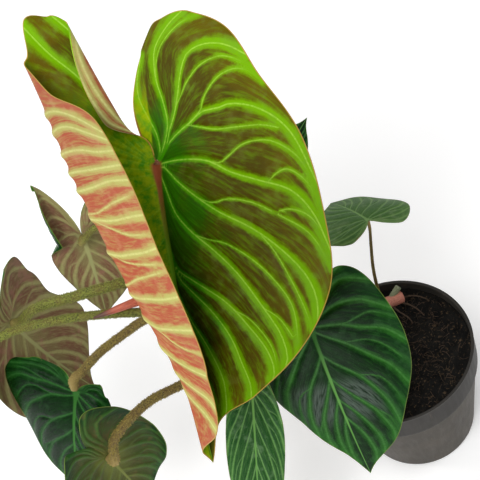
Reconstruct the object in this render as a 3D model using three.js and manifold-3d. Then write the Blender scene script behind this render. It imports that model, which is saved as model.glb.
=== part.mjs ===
// A philodendron verrucosum in a 12 cm nursery pot. The stem is a rooted cutting that lies on the
// soil, leaves the pot over its left side and carries ten heart-shaped leaves on hairy petioles.
// Millimetres, +Z up, +X to the right of the photograph, pot standing on Z = 0.
import * as THREE from 'three';
import Module from 'manifold-3d';

const wasm = await Module();
wasm.setup();
const { Manifold, Mesh: SolidMesh } = wasm;
const rad = THREE.MathUtils.degToRad;
const { clamp, lerp, smoothstep } = THREE.MathUtils;

// Driving sizes
const POT_HEIGHT = 103;
const POT_BASE_RADIUS = 42.5;
const POT_RIM_RADIUS = 60;
const LIP_HEIGHT = 24;
const LIP_STEP = 1.4;
const POT_WALL = 1.5;
const POT_SEGMENTS = 40;
const DRAIN_HOLES = 8;
const DRAIN_RADIUS = 4;
const DRAIN_RING_RADIUS = 30;
const SOIL_LEVEL = 94.5;
const SOIL_BUMP = 1.1;
const SEAT_GAP = 0.3;
const BLADE_THICKNESS = 0.7;
const BLADE_SEAT = 0.45;
const PETIOLE_NECK = 7;
const STEM_RADIUS = 4.6;
const STEM_SIDES = 10;
const PETIOLE_SIDES = 8;
const ROLL_FADE = 0.1;

// What a leaf has unless its own entry below says otherwise. Lengths in mm, angles in degrees.
// width, reach and lobe are the half width, the height of the widest point as a share of the
// length, and the length of the rear lobe. tilt and turn shape the section across the midrib. edge
// pushes the margin in or out by some mm at shares of its way from the sinus to the tip.
const HALF = {
  width: 50, reach: 0.2, lobe: 40, corner: 0.45, shoulder: 0.62, fullness: 0.4, blunt: 0.12,
  bulge: 0.14, sinus: 0.3, tilt: 4, turn: -25, roll: null, curl: null, edge: null,
};
const LEAF = {
  length: 90, drip: 0.08, fan: 0.3, widest: 0.48, spine: 25, back: 15, scythe: 0,
  pleat: 0.7, veins: 7, wave: 1.5, waves: 2.6, columns: 5, half: {}, left: {}, right: {},
};

// Leaves, from the crown down. at is where the blade meets its petiole; pose is the heading of the
// midrib from +X, its dip below the horizontal and the roll of the blade about it.
const LEAVES = {
  crown: {
    at: [-87, 50.3, 322.2], pose: [-107.8, 31.8, 14.9], length: 193.1, drip: 0.12, spine: 20,
    back: 8, scythe: 0.053, pleat: 1.3, wave: 1, rows: 32, columns: 9,
    left: {
      width: 110.3, lobe: 100.9, reach: 0.391, corner: 0.061, fullness: 0.476, blunt: 0.114,
      bulge: 0.15, sinus: 0.349, tilt: 6.3, turn: -14.7,
      edge: [[0, 0], [0.06, -3.8], [0.14, -0.7], [0.22, 2.7], [0.3, -1.4], [0.38, 2.5],
        [0.48, -1], [0.6, 0.5], [0.75, 1.4], [0.86, 0.4], [0.94, -7.5], [1, 0]],
    },
    right: {
      width: 108.9, lobe: 111.1, reach: 0.046, corner: 0.418, fullness: 0.311, blunt: 0.1,
      bulge: 0.15, sinus: 0.196, shoulder: 0.56,
      curl: { angle: 24.1, offset: -6.9, length: 8, turn: 176.2 },
      roll: {
        start: 48.8, vanish: 0.72, rear: 0.655, flare: 0.395, open: 0.363, radius: 5,
        tilt: [22, 42], turn: 156.3,
      },
      edge: [[0, 0], [0.06, -4.7], [0.12, 0.7], [0.18, 11.3], [0.24, -5.9], [0.32, -10.2],
        [0.42, 11], [0.6, -7.7], [0.8, -4.6], [0.92, 13.5], [1, 0]],
    },
  },
  back_left: {
    at: [-166.9, 100.4, 240.3], pose: [-140.6, 77.5, 143.3], length: 72.1, spine: 20.2, back: -2.9,
    pleat: 0.6,
    half: { fullness: 0.45, blunt: 0.1, sinus: 0.2 },
    left: {
      width: 27.2, lobe: 55, reach: 0.109, corner: 0.786, shoulder: 0.628,
      roll: {
        start: 12.9, vanish: -0.22, rear: 0.281, radius: 4.5, tilt: [5, 0], turn: 153, down: true,
      },
    },
    right: { width: 35.1, lobe: 38.5, reach: 0.16, corner: 0.43, turn: -24.9 },
  },
  far_left: {
    at: [-241.1, 77.4, 212.8], pose: [-44.9, 85.1, -189.2], length: 94.5, spine: 29.2, back: 35.4,
    half: { fullness: 0.45, blunt: 0.1 },
    left: {
      width: 50, lobe: 56, reach: 0.432, corner: 0.16, shoulder: 0.25, turn: -8,
      edge: [[0, 0], [0.45, 1.4], [0.65, 3.4], [1, 0]],
    },
    right: {
      width: 50.4, lobe: 43.5, reach: 0.314, corner: 0.358, shoulder: 0.338, turn: -9.1,
      edge: [[0, 0], [0.08, -3], [0.18, 4.3], [0.3, -2.6], [0.45, -9.3], [0.65, 4.7], [1, 0]],
    },
  },
  outer: {
    at: [-292, 24, 237], pose: [-144.2, 12.7, -45.2], length: 73.7,
    half: { width: 40, reach: 0.16, lobe: 34, corner: 0.4, tilt: 6, turn: -20 },
  },
  left: {
    at: [-208.6, 6.6, 198.5], pose: [-143.3, 47.8, -9.7], length: 94.6, spine: 29, back: 75.2,
    pleat: 0.9,
    left: {
      width: 28.7, lobe: 13, reach: 0.258, corner: 0.479, shoulder: 0.523, tilt: 6, turn: -34,
      roll: {
        start: 12.6, vanish: 4, rear: 0.3, radius: 11.2, tilt: [8, 4], turn: 140, down: true,
      },
    },
    right: {
      width: 59.4, lobe: 11.5, reach: 0.119, corner: 0.597, shoulder: 0.687, tilt: 6,
      turn: -15.2,
      edge: [[0, 0], [0.08, -2.3], [0.18, -0.2], [0.3, 6.1], [0.45, 5], [0.65, -5.8], [1, 0]],
    },
  },
  left_low: {
    at: [-202.4, -39.9, 181.5], pose: [139, 91.2, 19], length: 67.5, spine: 6.2, back: 0.5,
    pleat: 0.8,
    half: { tilt: 0, turn: -30 },
    left: { width: 40, reach: 0.16, lobe: 36 },
    right: {
      width: 41.4, lobe: 49.4, reach: 0.213, corner: 0, shoulder: 0.564,
      roll: { start: 24.5, vanish: 3, rear: 0, radius: 11, tilt: [5, 5], turn: 150, down: true },
    },
  },
  low: {
    at: [-95.4, -31.8, 176], pose: [-118, 42, -25], length: 118.6, spine: 17.6, back: 18,
    pleat: 0.7, veins: 6,
    half: { corner: 0.3, blunt: 0.05, tilt: 8 },
    left: { width: 20.4, lobe: 9, reach: 0.402, fullness: 0.6, shoulder: 0.555, turn: -19.3 },
    right: { width: 19.8, lobe: 20.7, reach: 0.383, fullness: 0.62, shoulder: 0.626, turn: -16.4 },
  },
  front: {
    at: [-42.8, -16.6, 192.1], pose: [-98.6, 56, 7.4], length: 129.4, drip: 0.092, spine: 18.2,
    back: 11.2, pleat: 1,
    half: { sinus: 0.36 },
    left: {
      width: 58.3, lobe: 36.3, reach: 0.201, corner: 0.392, shoulder: 0.657, fullness: 0.485,
      blunt: 0.054, turn: -18.6,
      edge: [[0, 0], [0.2, 2.6], [0.4, 0.3], [0.55, 0.6], [0.7, -2.4], [0.85, 0.9], [1, 0]],
    },
    right: {
      width: 44.2, lobe: 46, reach: 0.25, corner: 0.3, fullness: 0.379, blunt: 0.098, turn: -17.4,
      edge: [[0, 0], [0.4, 0.5], [0.55, 1.5], [0.7, -2.6], [0.85, -3.6], [1, 0]],
    },
  },
  back: {
    at: [-32.6, 110.1, 201.5], pose: [42, -3.4, 36], length: 66.2, drip: 0.12, spine: 15,
    pleat: 0.4, veins: 5, wave: 0.8,
    half: { width: 20, reach: 0.16, lobe: 16, corner: 0.4, tilt: 8, turn: -20 },
  },
  small: {
    at: [22.4, 59.1, 177.3], pose: [109.2, 13.8, 14.4], length: 57.5, spine: 19.9, back: 32.4,
    pleat: 0.5, veins: 6, wave: 0.8,
    left: { width: 36, lobe: 12.4, reach: 0.107, corner: 0.477, sinus: 0.2, turn: -26.1 },
    right: { width: 36.3, lobe: 16, reach: 0.114, corner: 0.428, sinus: 0.15, turn: -26.1 },
  },
};

// Route of the stem from its cut foot to its growing end.
const STEM_ROUTE = [
  [25, 43, 97.5], [8, 43, 98.5], [-16, 42, 106], [-42, 40, 128], [-72, 38, 168], [-98, 38.5, 198],
  [-121, 41, 220],
];
// Petioles: the node on the stem as a share of its length, places passed on the way to the blade,
// and the radius at the foot and under the blade. The last one stands in the soil by itself.
const PETIOLES = {
  crown: { node: 1, via: [[-127, 45, 244], [-120, 60, 282], [-106, 66, 304]], radii: [4.2, 3] },
  back_left: {
    node: 0.54, via: [[-92, 66, 196], [-124, 82, 234], [-150, 86, 256]], radii: [3.2, 2.4],
    neck: [[1.2, -7], [1.2, -1]],
  },
  far_left: {
    node: 0.87,
    via: [[-124, 53, 222], [-146, 46, 237], [-173, 46, 243], [-214, 60, 234]],
    radii: [3.9, 3.3],
  },
  outer: {
    node: 0.78,
    via: [[-120, 20, 213], [-144, 26, 225], [-190, 38, 235], [-236, 44, 240], [-270, 38, 234]],
    radii: [3.4, 2.8],
  },
  left: {
    node: 0.7,
    via: [
      [-101, 13.1, 204], [-118.2, 13.2, 223.1], [-138.3, 13.8, 231.1],
      [-159.2, 10.9, 229.4], [-181.1, 8.9, 223.3], [-196.2, 9.2, 213.1],
    ],
    radii: [3.3, 2.9],
    neck: [[-11, 4.7], [-3, 2.3]],
  },
  left_low: {
    node: 0.61,
    via: [
      [-95.6, 0.3, 183], [-114.6, -16, 192.1], [-136.5, -24.5, 200.2],
      [-157.7, -32, 207.9], [-176.1, -40.2, 208], [-190.1, -44, 199.5],
    ],
    radii: [3, 3.2],
    neck: [[1.6, -7], [1.6, -1.15]],
  },
  low: { node: 0.5, via: [[-66, 20, 168], [-81, 5, 184], [-91, -12, 179]], radii: [2.4, 2] },
  front: { node: 0.32, via: [[-24, 26, 146], [-26, 10, 176], [-36, -4, 192]], radii: [2.7, 2.3] },
  back: { node: 0.4, via: [[-46, 60, 156], [-40, 86, 176], [-33, 104, 186]], radii: [2, 1.7] },
  small: {
    node: null, via: [[8, 49, 85], [9, 51, 104], [12, 53, 130], [17, 55, 154]], radii: [1.6, 1.2],
  },
};
const SHEATH = {
  node: 0.985,
  via: [[-132.6, 32, 227.7], [-147.8, 28.9, 233.9], [-161.8, 27.8, 236.4], [-173.8, 27.3, 237.9]],
  radii: [4.4, 1],
};
const STUB_ROUTE = [[14, 44, 98], [19, 45.8, 101.5], [24, 47.5, 105]];
const ROOTS = [
  [[20, 41, 95], [26, 34, 97.5], [31, 26, 96.5], [34, 20, 90]],
  [[14, 40, 96], [17, 31, 98.5], [22, 22, 97], [23, 16, 90]],
  [[22, 44, 95], [31, 40, 98], [39, 34, 96.5], [43, 31, 90]],
];

const cubic = (p, t) => {
  const [u, v] = [0, 1].map((k) => (1 - t) ** 3 * p[0][k] + 3 * t * (1 - t) ** 2 * p[1][k]
    + 3 * t * t * (1 - t) * p[2][k] + t ** 3 * p[3][k]);
  return [u, v];
};

// Place on the circle arc that turns evenly by `turn` degrees over `span`, and straight on after it.
function arc(distance, span, turn, tilt = 0) {
  const start = rad(tilt);
  const bend = rad(turn) / span;
  const bent = Math.min(distance, span);
  const end = start + bend * bent;
  const straight = distance - bent;
  const along = Math.abs(bend) < 1e-7 ? bent * Math.cos(start)
    : (Math.sin(end) - Math.sin(start)) / bend;
  const rise = Math.abs(bend) < 1e-7 ? bent * Math.sin(start)
    : (Math.cos(start) - Math.cos(end)) / bend;
  return [along + straight * Math.cos(end), rise + straight * Math.sin(end), end];
}

// How much farther from the midrib a margin at this reach lies for the offsets given along it
function edgeGrowth(offsets, a, reach) {
  const k = clamp(offsets.findIndex(([at]) => at >= a) - 1, 0, offsets.length - 2);
  const [from, before] = offsets[k];
  const [to, after] = offsets[k + 1];
  return 1 + lerp(before, after, smoothstep(a, from, to)) / Math.max(reach, 1);
}

// Flat half blade: `a` runs from the sinus edge round the lobe to the tip, `b` from the midrib out.
function flatPoint(leaf, half, a, b) {
  const { width, lobe } = half;
  const body = leaf.length * (1 - leaf.drip);
  const rear = [half.corner * width, -0.86 * lobe];
  const wide = [width, half.reach * body];
  const rearArc = [rear, [rear[0] + 0.22 * (width - rear[0]), -1.22 * lobe],
    [width, wide[1] - half.shoulder * (wide[1] + lobe)], wide];
  const frontArc = [wide, [width, wide[1] + 0.5 * (body - wide[1])],
    [half.fullness * width, body * (1 - half.blunt)], [0, body]];
  const edge = a < leaf.widest ? cubic(rearArc, a / leaf.widest)
    : cubic(frontArc, (a - leaf.widest) / (1 - leaf.widest));
  const root = body * clamp((a - leaf.fan) / (1 - leaf.fan), 0, 1) ** 1.25;
  const bulge = half.bulge + (half.sinus - half.bulge) * Math.exp(-a / 0.06);
  const grow = half.edge ? edgeGrowth(half.edge, a, Math.hypot(edge[0], edge[1] - root)) : 1;
  const dx = edge[0] * grow;
  const dy = (edge[1] - root) * grow;
  const knee = [0.5 * dx + bulge * dy, root + 0.5 * dy - bulge * dx];
  const x = 2 * b * (1 - b) * knee[0] + b * b * dx;
  const y = (1 - b) ** 2 * root + 2 * b * (1 - b) * knee[1] + b * b * (dy + root);
  const nearTip = smoothstep(y / body, 0.72, 1);
  return [x, y + leaf.length * leaf.drip * Math.exp(-Math.abs(x) / (0.12 * width)) * nearTip];
}

// The free edge of the sinus curls up over the upper face.
function curlSinus(curl, lobe, [x, y, z]) {
  const c = Math.cos(rad(curl.angle));
  const s = Math.sin(rad(curl.angle));
  const along = x * s - y * c;
  const out = -x * c - y * s;
  const past = Math.max(out - curl.offset, 0) * smoothstep(along, 0, 0.35 * lobe);
  const [run, rise, end] = arc(past, curl.length, curl.turn);
  const place = out - past + run;
  return [along * s - place * c, -along * c - place * s, z * Math.cos(end) + rise];
}

// Section across the midrib: an even arch, or a flat strip that rolls over into a flap.
function section(leaf, half, x, y) {
  const out = Math.max(x, 0);
  if (!half.roll) {
    const span = half.width * (1 - (y > 0 ? 0.3 * clamp(y / leaf.length, 0, 1) : 0));
    return arc(out, span, half.turn, half.tilt);
  }
  const { start, vanish, rear, radius, tilt, turn, down, flare = 0, open = 0 } = half.roll;
  const left = 1 - y / (vanish * leaf.length);
  const behind = clamp(-y / half.lobe, 0, 1.2);
  const share = y > 0 ? (left + Math.hypot(left, ROLL_FADE)) / (1 + Math.hypot(1, ROLL_FADE))
    : 1 + rear * behind + flare * Math.max(behind - open, 0) ** 2;
  const strip = Math.min(out, start * share);
  const slope = lerp(tilt[0], tilt[1], clamp(y / leaf.length, 0, 1));
  const span = radius * rad(turn - slope);
  const [run, rise, end] = arc(out - strip, span, turn - slope, slope);
  const flip = down ? -1 : 1;
  return [strip * Math.cos(rad(slope)) + run, flip * (strip * Math.sin(rad(slope)) + rise), flip * end];
}

// Point of the curved blade, midway between its faces; side is 1 or -1.
function bladePoint(leaf, axes, side, a, b) {
  const half = { ...HALF, ...leaf.half, ...(side > 0 ? leaf.right : leaf.left) };
  let [x, y] = flatPoint(leaf, half, a, b);
  const fade = smoothstep(1 - a, 0, 0.3);
  let z = leaf.pleat * Math.cos(2 * Math.PI * a * leaf.veins) * 4 * b * (1 - b) * fade;
  const phase = side > 0 ? 0 : 1.7;
  z += leaf.wave * b ** 3 * Math.sin(2 * Math.PI * leaf.waves * a + phase) * fade;
  if (half.curl) [x, y, z] = curlSinus(half.curl, half.lobe, [x, y, z]);
  const [run, rise, slope] = section(leaf, half, x, y);
  const u = side * (run + Math.min(x, 0) - z * Math.sin(slope))
    + leaf.scythe * leaf.length * clamp(y / leaf.length, 0, 1) ** 2;
  const w = rise + z * Math.cos(slope);
  const [far, drop, bend] = y >= 0 ? arc(y, leaf.length, leaf.spine)
    : arc(-y, half.lobe, leaf.back);
  const v = y >= 0 ? far + w * Math.sin(bend) : -far - w * Math.sin(bend);
  return new THREE.Vector3(...leaf.at)
    .addScaledVector(axes.across, u)
    .addScaledVector(axes.along, v)
    .addScaledVector(axes.normal, w * Math.cos(bend) - drop);
}

function leafAxes([heading, dip, roll]) {
  const turn = new THREE.Matrix4().makeRotationZ(rad(heading - 90))
    .multiply(new THREE.Matrix4().makeRotationX(-rad(dip)))
    .multiply(new THREE.Matrix4().makeRotationY(rad(roll)));
  const axes = { across: new THREE.Vector3(), along: new THREE.Vector3(), normal: new THREE.Vector3() };
  turn.extractBasis(axes.across, axes.along, axes.normal);
  return axes;
}

// Closed blade: the same net of triangles on both faces and a strip round the edge.
function bladeGeometry(spec) {
  const leaf = { ...LEAF, ...spec };
  const axes = leafAxes(leaf.pose);
  const rows = leaf.rows ?? 2 * leaf.veins;
  const columns = leaf.columns;
  const ids = new Map();
  const middle = [];
  const id = (side, i, j) => {
    const atFan = j === 0 && i / rows <= leaf.fan;
    const key = i === rows ? 'tip' : atFan ? 'junction' : j === 0 ? `rib${i}` : `${side},${i},${j}`;
    if (!ids.has(key)) {
      ids.set(key, middle.length);
      middle.push(bladePoint(leaf, axes, side, atFan ? 0 : i / rows, j / columns));
    }
    return ids.get(key);
  };
  const faces = [];
  const addFace = (side, p, q, r) => {
    if (p !== q && q !== r && r !== p) faces.push(side > 0 ? [p, q, r] : [p, r, q]);
  };
  for (const side of [1, -1]) {
    for (let i = 0; i < rows; i += 1) {
      for (let j = 0; j < columns; j += 1) {
        const corners = [id(side, i, j), id(side, i, j + 1), id(side, i + 1, j + 1), id(side, i + 1, j)];
        addFace(side, corners[0], corners[1], corners[2]);
        addFace(side, corners[0], corners[2], corners[3]);
      }
    }
  }
  const edgeOf = (side) => {
    const edge = [];
    for (let j = 0; j < columns; j += 1) edge.push(id(side, 0, j));
    for (let i = 0; i < rows; i += 1) edge.push(id(side, i, columns));
    return edge;
  };
  const loop = [...edgeOf(1), id(1, rows, 0), ...edgeOf(-1).reverse().slice(0, -1)];

  const normals = middle.map(() => new THREE.Vector3());
  for (const face of faces) {
    const [p, q, r] = face.map((k) => middle[k]);
    const normal = q.clone().sub(p).cross(r.clone().sub(p));
    face.forEach((k) => normals[k].add(normal));
  }
  const count = middle.length;
  const positions = [];
  for (const offset of [BLADE_THICKNESS / 2, -BLADE_THICKNESS / 2]) {
    middle.forEach((point, k) => {
      positions.push(...point.clone().addScaledVector(normals[k].clone().normalize(), offset));
    });
  }
  const index = [];
  for (const [p, q, r] of faces) index.push(p, q, r, r + count, q + count, p + count);
  loop.forEach((p, k) => {
    const q = loop[(k + 1) % loop.length];
    index.push(p, p + count, q + count, p, q + count, q);
  });
  return indexed(positions, index);
}

function indexed(positions, index) {
  const geometry = new THREE.BufferGeometry();
  geometry.setAttribute('position', new THREE.Float32BufferAttribute(positions, 3));
  geometry.setIndex(index);
  return geometry;
}

const asPoints = (route) => route.map((p) => new THREE.Vector3(...p));

// Closed round stalk along a smooth route, thinning evenly from its foot to its end.
function stalkGeometry(points, [footRadius, endRadius], sides, steps, grow = 0) {
  const curve = new THREE.CatmullRomCurve3(points);
  const frames = curve.computeFrenetFrames(steps, false);
  const positions = [];
  for (let i = 0; i <= steps; i += 1) {
    const centre = curve.getPointAt(i / steps);
    const radius = lerp(footRadius, endRadius, i / steps) + grow;
    for (let k = 0; k < sides; k += 1) {
      const angle = 2 * Math.PI * (k / sides);
      positions.push(...centre.clone()
        .addScaledVector(frames.normals[i], radius * Math.cos(angle))
        .addScaledVector(frames.binormals[i], radius * Math.sin(angle)));
    }
  }
  const index = [];
  for (let i = 0; i < steps; i += 1) {
    for (let k = 0; k < sides; k += 1) {
      const [p, q] = [i * sides + k, i * sides + ((k + 1) % sides)];
      index.push(p, q, q + sides, p, q + sides, p + sides);
    }
  }
  const last = steps * sides;
  for (let k = 1; k < sides - 1; k += 1) index.push(0, k + 1, k, last, last + k, last + k + 1);
  return indexed(positions, index);
}

function toSolid(geometry) {
  return new Manifold(new SolidMesh({
    numProp: 3,
    vertProperties: new Float32Array(geometry.attributes.position.array),
    triVerts: new Uint32Array(geometry.index.array),
  }));
}

function toGeometry(solid) {
  const { vertProperties, triVerts, numProp } = solid.getMesh();
  const positions = [];
  for (let i = 0; i < vertProperties.length; i += numProp) positions.push(...vertProperties.slice(i, i + 3));
  return indexed(positions, Array.from(triVerts));
}

// Round piece turned about Z from its half section, closed on the axis.
function turned(section2d, segments) {
  return toSolid(closedLathe(section2d, segments));
}

function closedLathe(outline, segments) {
  const positions = [];
  const index = [];
  const ring = outline.map(([radius, height]) => {
    const first = positions.length / 3;
    const count = radius < 1e-6 ? 1 : segments;
    for (let k = 0; k < count; k += 1) {
      const angle = 2 * Math.PI * (k / segments);
      positions.push(radius * Math.cos(angle), radius * Math.sin(angle), height);
    }
    return (k) => first + (count === 1 ? 0 : k % segments);
  });
  for (let i = 0; i < outline.length - 1; i += 1) {
    for (let k = 0; k < segments; k += 1) {
      const [p, q, r, s] = [ring[i](k), ring[i](k + 1), ring[i + 1](k + 1), ring[i + 1](k)];
      if (p !== q) index.push(p, q, r);
      if (r !== s) index.push(p, r, s);
    }
  }
  return indexed(positions, index);
}

// Pot
const lipBase = POT_HEIGHT - LIP_HEIGHT;
const wallRadius = (z) => lerp(POT_BASE_RADIUS, POT_RIM_RADIUS - LIP_STEP - 1.2, z / lipBase);
function potSolid() {
  const lipRadius = wallRadius(lipBase) + LIP_STEP;
  const outline = [
    [0, 0], [POT_BASE_RADIUS - 1, 0], [wallRadius(1), 1], [wallRadius(lipBase - 0.6), lipBase - 0.6],
    [lipRadius, lipBase], [POT_RIM_RADIUS, POT_HEIGHT - 0.7], [POT_RIM_RADIUS - 0.6, POT_HEIGHT],
    [POT_RIM_RADIUS - POT_WALL - 0.3, POT_HEIGHT - 0.4], [lipRadius - POT_WALL, lipBase + 1],
    [wallRadius(lipBase) - POT_WALL, lipBase - 0.6], [POT_BASE_RADIUS - POT_WALL, 2 * POT_WALL],
    [POT_BASE_RADIUS - POT_WALL - 1.5, POT_WALL], [0, POT_WALL],
  ];
  const drains = [];
  for (let k = 0; k < DRAIN_HOLES; k += 1) {
    const angle = 360 * (k / DRAIN_HOLES);
    drains.push(Manifold.cylinder(3 * POT_WALL, DRAIN_RADIUS, DRAIN_RADIUS, 12)
      .translate([DRAIN_RING_RADIUS, 0, -POT_WALL]).rotate([0, 0, angle]));
  }
  return turned(outline, POT_SEGMENTS).subtract(Manifold.union(drains));
}

// Soil with a lumpy top; what stands in it gets a plain hole.
function soilSolid(standing) {
  const inner = POT_WALL + SEAT_GAP;
  const upLip = (SOIL_LEVEL - lipBase) / LIP_HEIGHT;
  const topRadius = lerp(wallRadius(lipBase) + LIP_STEP, POT_RIM_RADIUS, upLip);
  const outline = [
    [0, inner], [POT_BASE_RADIUS - inner - 1.6, inner], [POT_BASE_RADIUS - inner, 2 * inner],
    [wallRadius(lipBase) - inner, lipBase - 0.6], [wallRadius(lipBase) - inner, lipBase + 1],
    [topRadius - inner - 0.6, SOIL_LEVEL - 1], [0.82 * topRadius, SOIL_LEVEL],
    [0.64 * topRadius, SOIL_LEVEL], [0.46 * topRadius, SOIL_LEVEL], [0.26 * topRadius, SOIL_LEVEL],
    [0, SOIL_LEVEL],
  ];
  const geometry = closedLathe(outline, POT_SEGMENTS);
  const place = geometry.attributes.position;
  for (let i = 0; i < place.count; i += 1) {
    const [x, y, z] = [place.getX(i), place.getY(i), place.getZ(i)];
    if (z === SOIL_LEVEL) {
      const lump = Math.sin(0.31 * x + 1) * Math.cos(0.27 * y) + 0.6 * Math.sin(0.43 * y - 0.5 * x);
      place.setZ(i, z + SOIL_BUMP * lump);
    }
  }
  return standing.reduce((soil, piece) => soil.subtract(piece), toSolid(geometry));
}

// Stem with its roots and the stub of an old petiole; grown by the seat gap it cuts the soil
const stemCurve = new THREE.CatmullRomCurve3(STEM_ROUTE.map((p) => new THREE.Vector3(...p)));
function stemSolid(grow) {
  const stem = stalkGeometry(stemCurve.points, [STEM_RADIUS, STEM_RADIUS - 0.4], STEM_SIDES, 26, grow);
  const stub = stalkGeometry(asPoints(STUB_ROUTE), [2.6, 2.4], 8, 4, grow);
  const roots = ROOTS.map((route) => stalkGeometry(asPoints(route), [1.3, 0.7], 6, 8, grow));
  return Manifold.union([stem, stub, ...roots].map(toSolid));
}

// Foot of a petiole: flat against the side of the stem, or against its end
function footOnStem(node, toward) {
  const axis = stemCurve.getPointAt(node);
  const along = stemCurve.getTangentAt(node);
  const out = node === 1 ? along : toward.clone().sub(axis).projectOnPlane(along).normalize();
  const reach = node === 1 ? SEAT_GAP : STEM_RADIUS + SEAT_GAP;
  return [reach, reach + 5].map((distance) => axis.clone().addScaledVector(out, distance));
}

// Petiole that ends square to its blade. A neck gives its last two places, each as the distance
// along the midrib and off the upper face; without one they lie under the junction.
function petioleGeometry(name, grow = 0) {
  const { node, via, radii, neck } = PETIOLES[name];
  const leaf = { ...LEAF, ...LEAVES[name] };
  const axes = leafAxes(leaf.pose);
  const depths = [PETIOLE_NECK, BLADE_THICKNESS / 2 + BLADE_SEAT];
  const ends = neck ?? depths.map((depth) => [radii[1] / 2, -depth]);
  const last = ends.map(([along, off]) => new THREE.Vector3(...leaf.at)
    .addScaledVector(axes.along, along).addScaledVector(axes.normal, off));
  const way = asPoints(via);
  const foot = node === null ? [] : footOnStem(node, way[0]);
  return stalkGeometry([...foot, ...way, ...last], radii, PETIOLE_SIDES, 16, grow);
}

function sheathGeometry() {
  const way = asPoints(SHEATH.via);
  return stalkGeometry([...footOnStem(SHEATH.node, way[0]), ...way], SHEATH.radii, PETIOLE_SIDES, 10);
}

function material(name, color, roughness) {
  return new THREE.MeshStandardMaterial({ name, color, roughness, metalness: 0 });
}
const MATERIALS = {
  pot: material('pot_plastic', 0x5f5a54, 0.6),
  soil: material('peat', 0x1d1714, 1),
  stem: material('stem_skin', 0x8f7a4c, 0.7),
  petiole: material('hairy_petiole', 0x96a04a, 0.8),
  sheath: material('red_sheath', 0xc8685a, 0.5),
  young: material('young_blade', 0x5f9a22, 0.5),
  mature: material('mature_blade', 0x12502a, 0.5),
};

const group = new THREE.Group();
function add(name, geometry, material) {
  geometry.computeVertexNormals();
  const mesh = new THREE.Mesh(geometry, material);
  mesh.name = name;
  group.add(mesh);
}

const standing = [stemSolid(SEAT_GAP), toSolid(petioleGeometry('small', SEAT_GAP))];
add('pot', toGeometry(potSolid()), MATERIALS.pot);
add('soil', toGeometry(soilSolid(standing)), MATERIALS.soil);
add('stem', toGeometry(stemSolid(0)), MATERIALS.stem);
add('sheath', sheathGeometry(), MATERIALS.sheath);
for (const name of Object.keys(LEAVES)) {
  add(`petiole_${name}`, petioleGeometry(name), MATERIALS.petiole);
  add(`blade_${name}`, bladeGeometry(LEAVES[name]), name === 'crown' ? MATERIALS.young : MATERIALS.mature);
}

export default group;
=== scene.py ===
# A philodendron verrucosum in a 12 cm nursery pot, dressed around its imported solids. The plant is
# a rooted cutting: its stem lies on the soil, leaves the pot over its left side and carries ten
# heart-shaped leaves on hairy petioles. Metres, +Z up; leaf formulas are in millimetres.
import math
import random
import bmesh
import bpy
import numpy as np
from mathutils import Matrix, Vector, noise


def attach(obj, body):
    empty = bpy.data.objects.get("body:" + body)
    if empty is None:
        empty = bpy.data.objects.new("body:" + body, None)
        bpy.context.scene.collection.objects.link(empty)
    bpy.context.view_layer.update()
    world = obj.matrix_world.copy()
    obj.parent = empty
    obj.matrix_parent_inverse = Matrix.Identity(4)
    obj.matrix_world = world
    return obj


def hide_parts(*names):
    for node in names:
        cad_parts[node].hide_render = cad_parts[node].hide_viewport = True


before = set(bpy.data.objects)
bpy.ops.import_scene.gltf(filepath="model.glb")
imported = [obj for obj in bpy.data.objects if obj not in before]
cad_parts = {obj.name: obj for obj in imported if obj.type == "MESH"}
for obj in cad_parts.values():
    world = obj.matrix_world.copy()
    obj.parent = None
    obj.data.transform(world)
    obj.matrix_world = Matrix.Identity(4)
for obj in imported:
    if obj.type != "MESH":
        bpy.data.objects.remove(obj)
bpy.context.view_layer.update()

MM = 0.001

# The studio. A white sweep of paper lies under the pot, and big soft lamps above and to the left
# keep the shadows faint. The camera stands in front and looks down on the crown of the plant.
scene = bpy.context.scene
scene.view_settings.view_transform = "Standard"

camera = bpy.data.objects.new("camera", bpy.data.cameras.new("camera"))
camera.data.lens = 90
camera.data.sensor_width = 36
camera.data.clip_start = 0.05
camera.data.clip_end = 20
right = Vector((0.912, -0.258, -0.318)).normalized()
back = Vector((0.078, -0.654, 0.752)).normalized()
up = back.cross(right).normalized()
right = up.cross(back).normalized()
turn = Matrix((right, up, back)).transposed().to_4x4()
CAMERA_PLACE = (0, -0.487, 0.842)
camera.matrix_world = Matrix.Translation(CAMERA_PLACE) @ turn
scene.collection.objects.link(camera)
scene.camera = camera


def lamp(name, place, aim, size, power):
    # a round soft lamp, size in metres across and power in watts
    light = bpy.data.lights.new(name, "AREA")
    light.shape = "DISK"
    light.size = size
    light.energy = power
    piece = bpy.data.objects.new(name, light)
    piece.location = place
    piece.rotation_euler = (Vector(aim) - Vector(place)).to_track_quat("-Z", "Y").to_euler()
    scene.collection.objects.link(piece)


lamp("key_lamp", (-0.5, -0.9, 1.7), (-0.1, 0, 0.2), 1.0, 18)
lamp("fill_lamp", (1.3, -0.3, 1.3), (-0.05, 0, 0.2), 1.2, 4)
lamp("rim_lamp", (-0.9, 1.2, 1.2), (-0.1, 0, 0.2), 1.0, 4)
lamp("low_window", (-0.72, -1.02, 0.26), (-0.05, -0.04, 0.15), 0.22, 2.6)
lamp("high_window", (-0.9, 0.2, 1.2), (-0.05, 0.02, 0.33), 0.25, 3.0)
world = bpy.data.worlds.new("studio_air")
world.use_nodes = True
air = world.node_tree.nodes["Background"].inputs
air["Color"].default_value = (1, 1, 1, 1)
air["Strength"].default_value = 0.5
scene.world = world


def linear(red, green, blue):
    # colour of the shader from a colour as the eye reads it, 0 to 255
    def one(value):
        value /= 255
        return value / 12.92 if value <= 0.04045 else ((value + 0.055) / 1.055) ** 2.4
    return (one(red), one(green), one(blue), 1)


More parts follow.
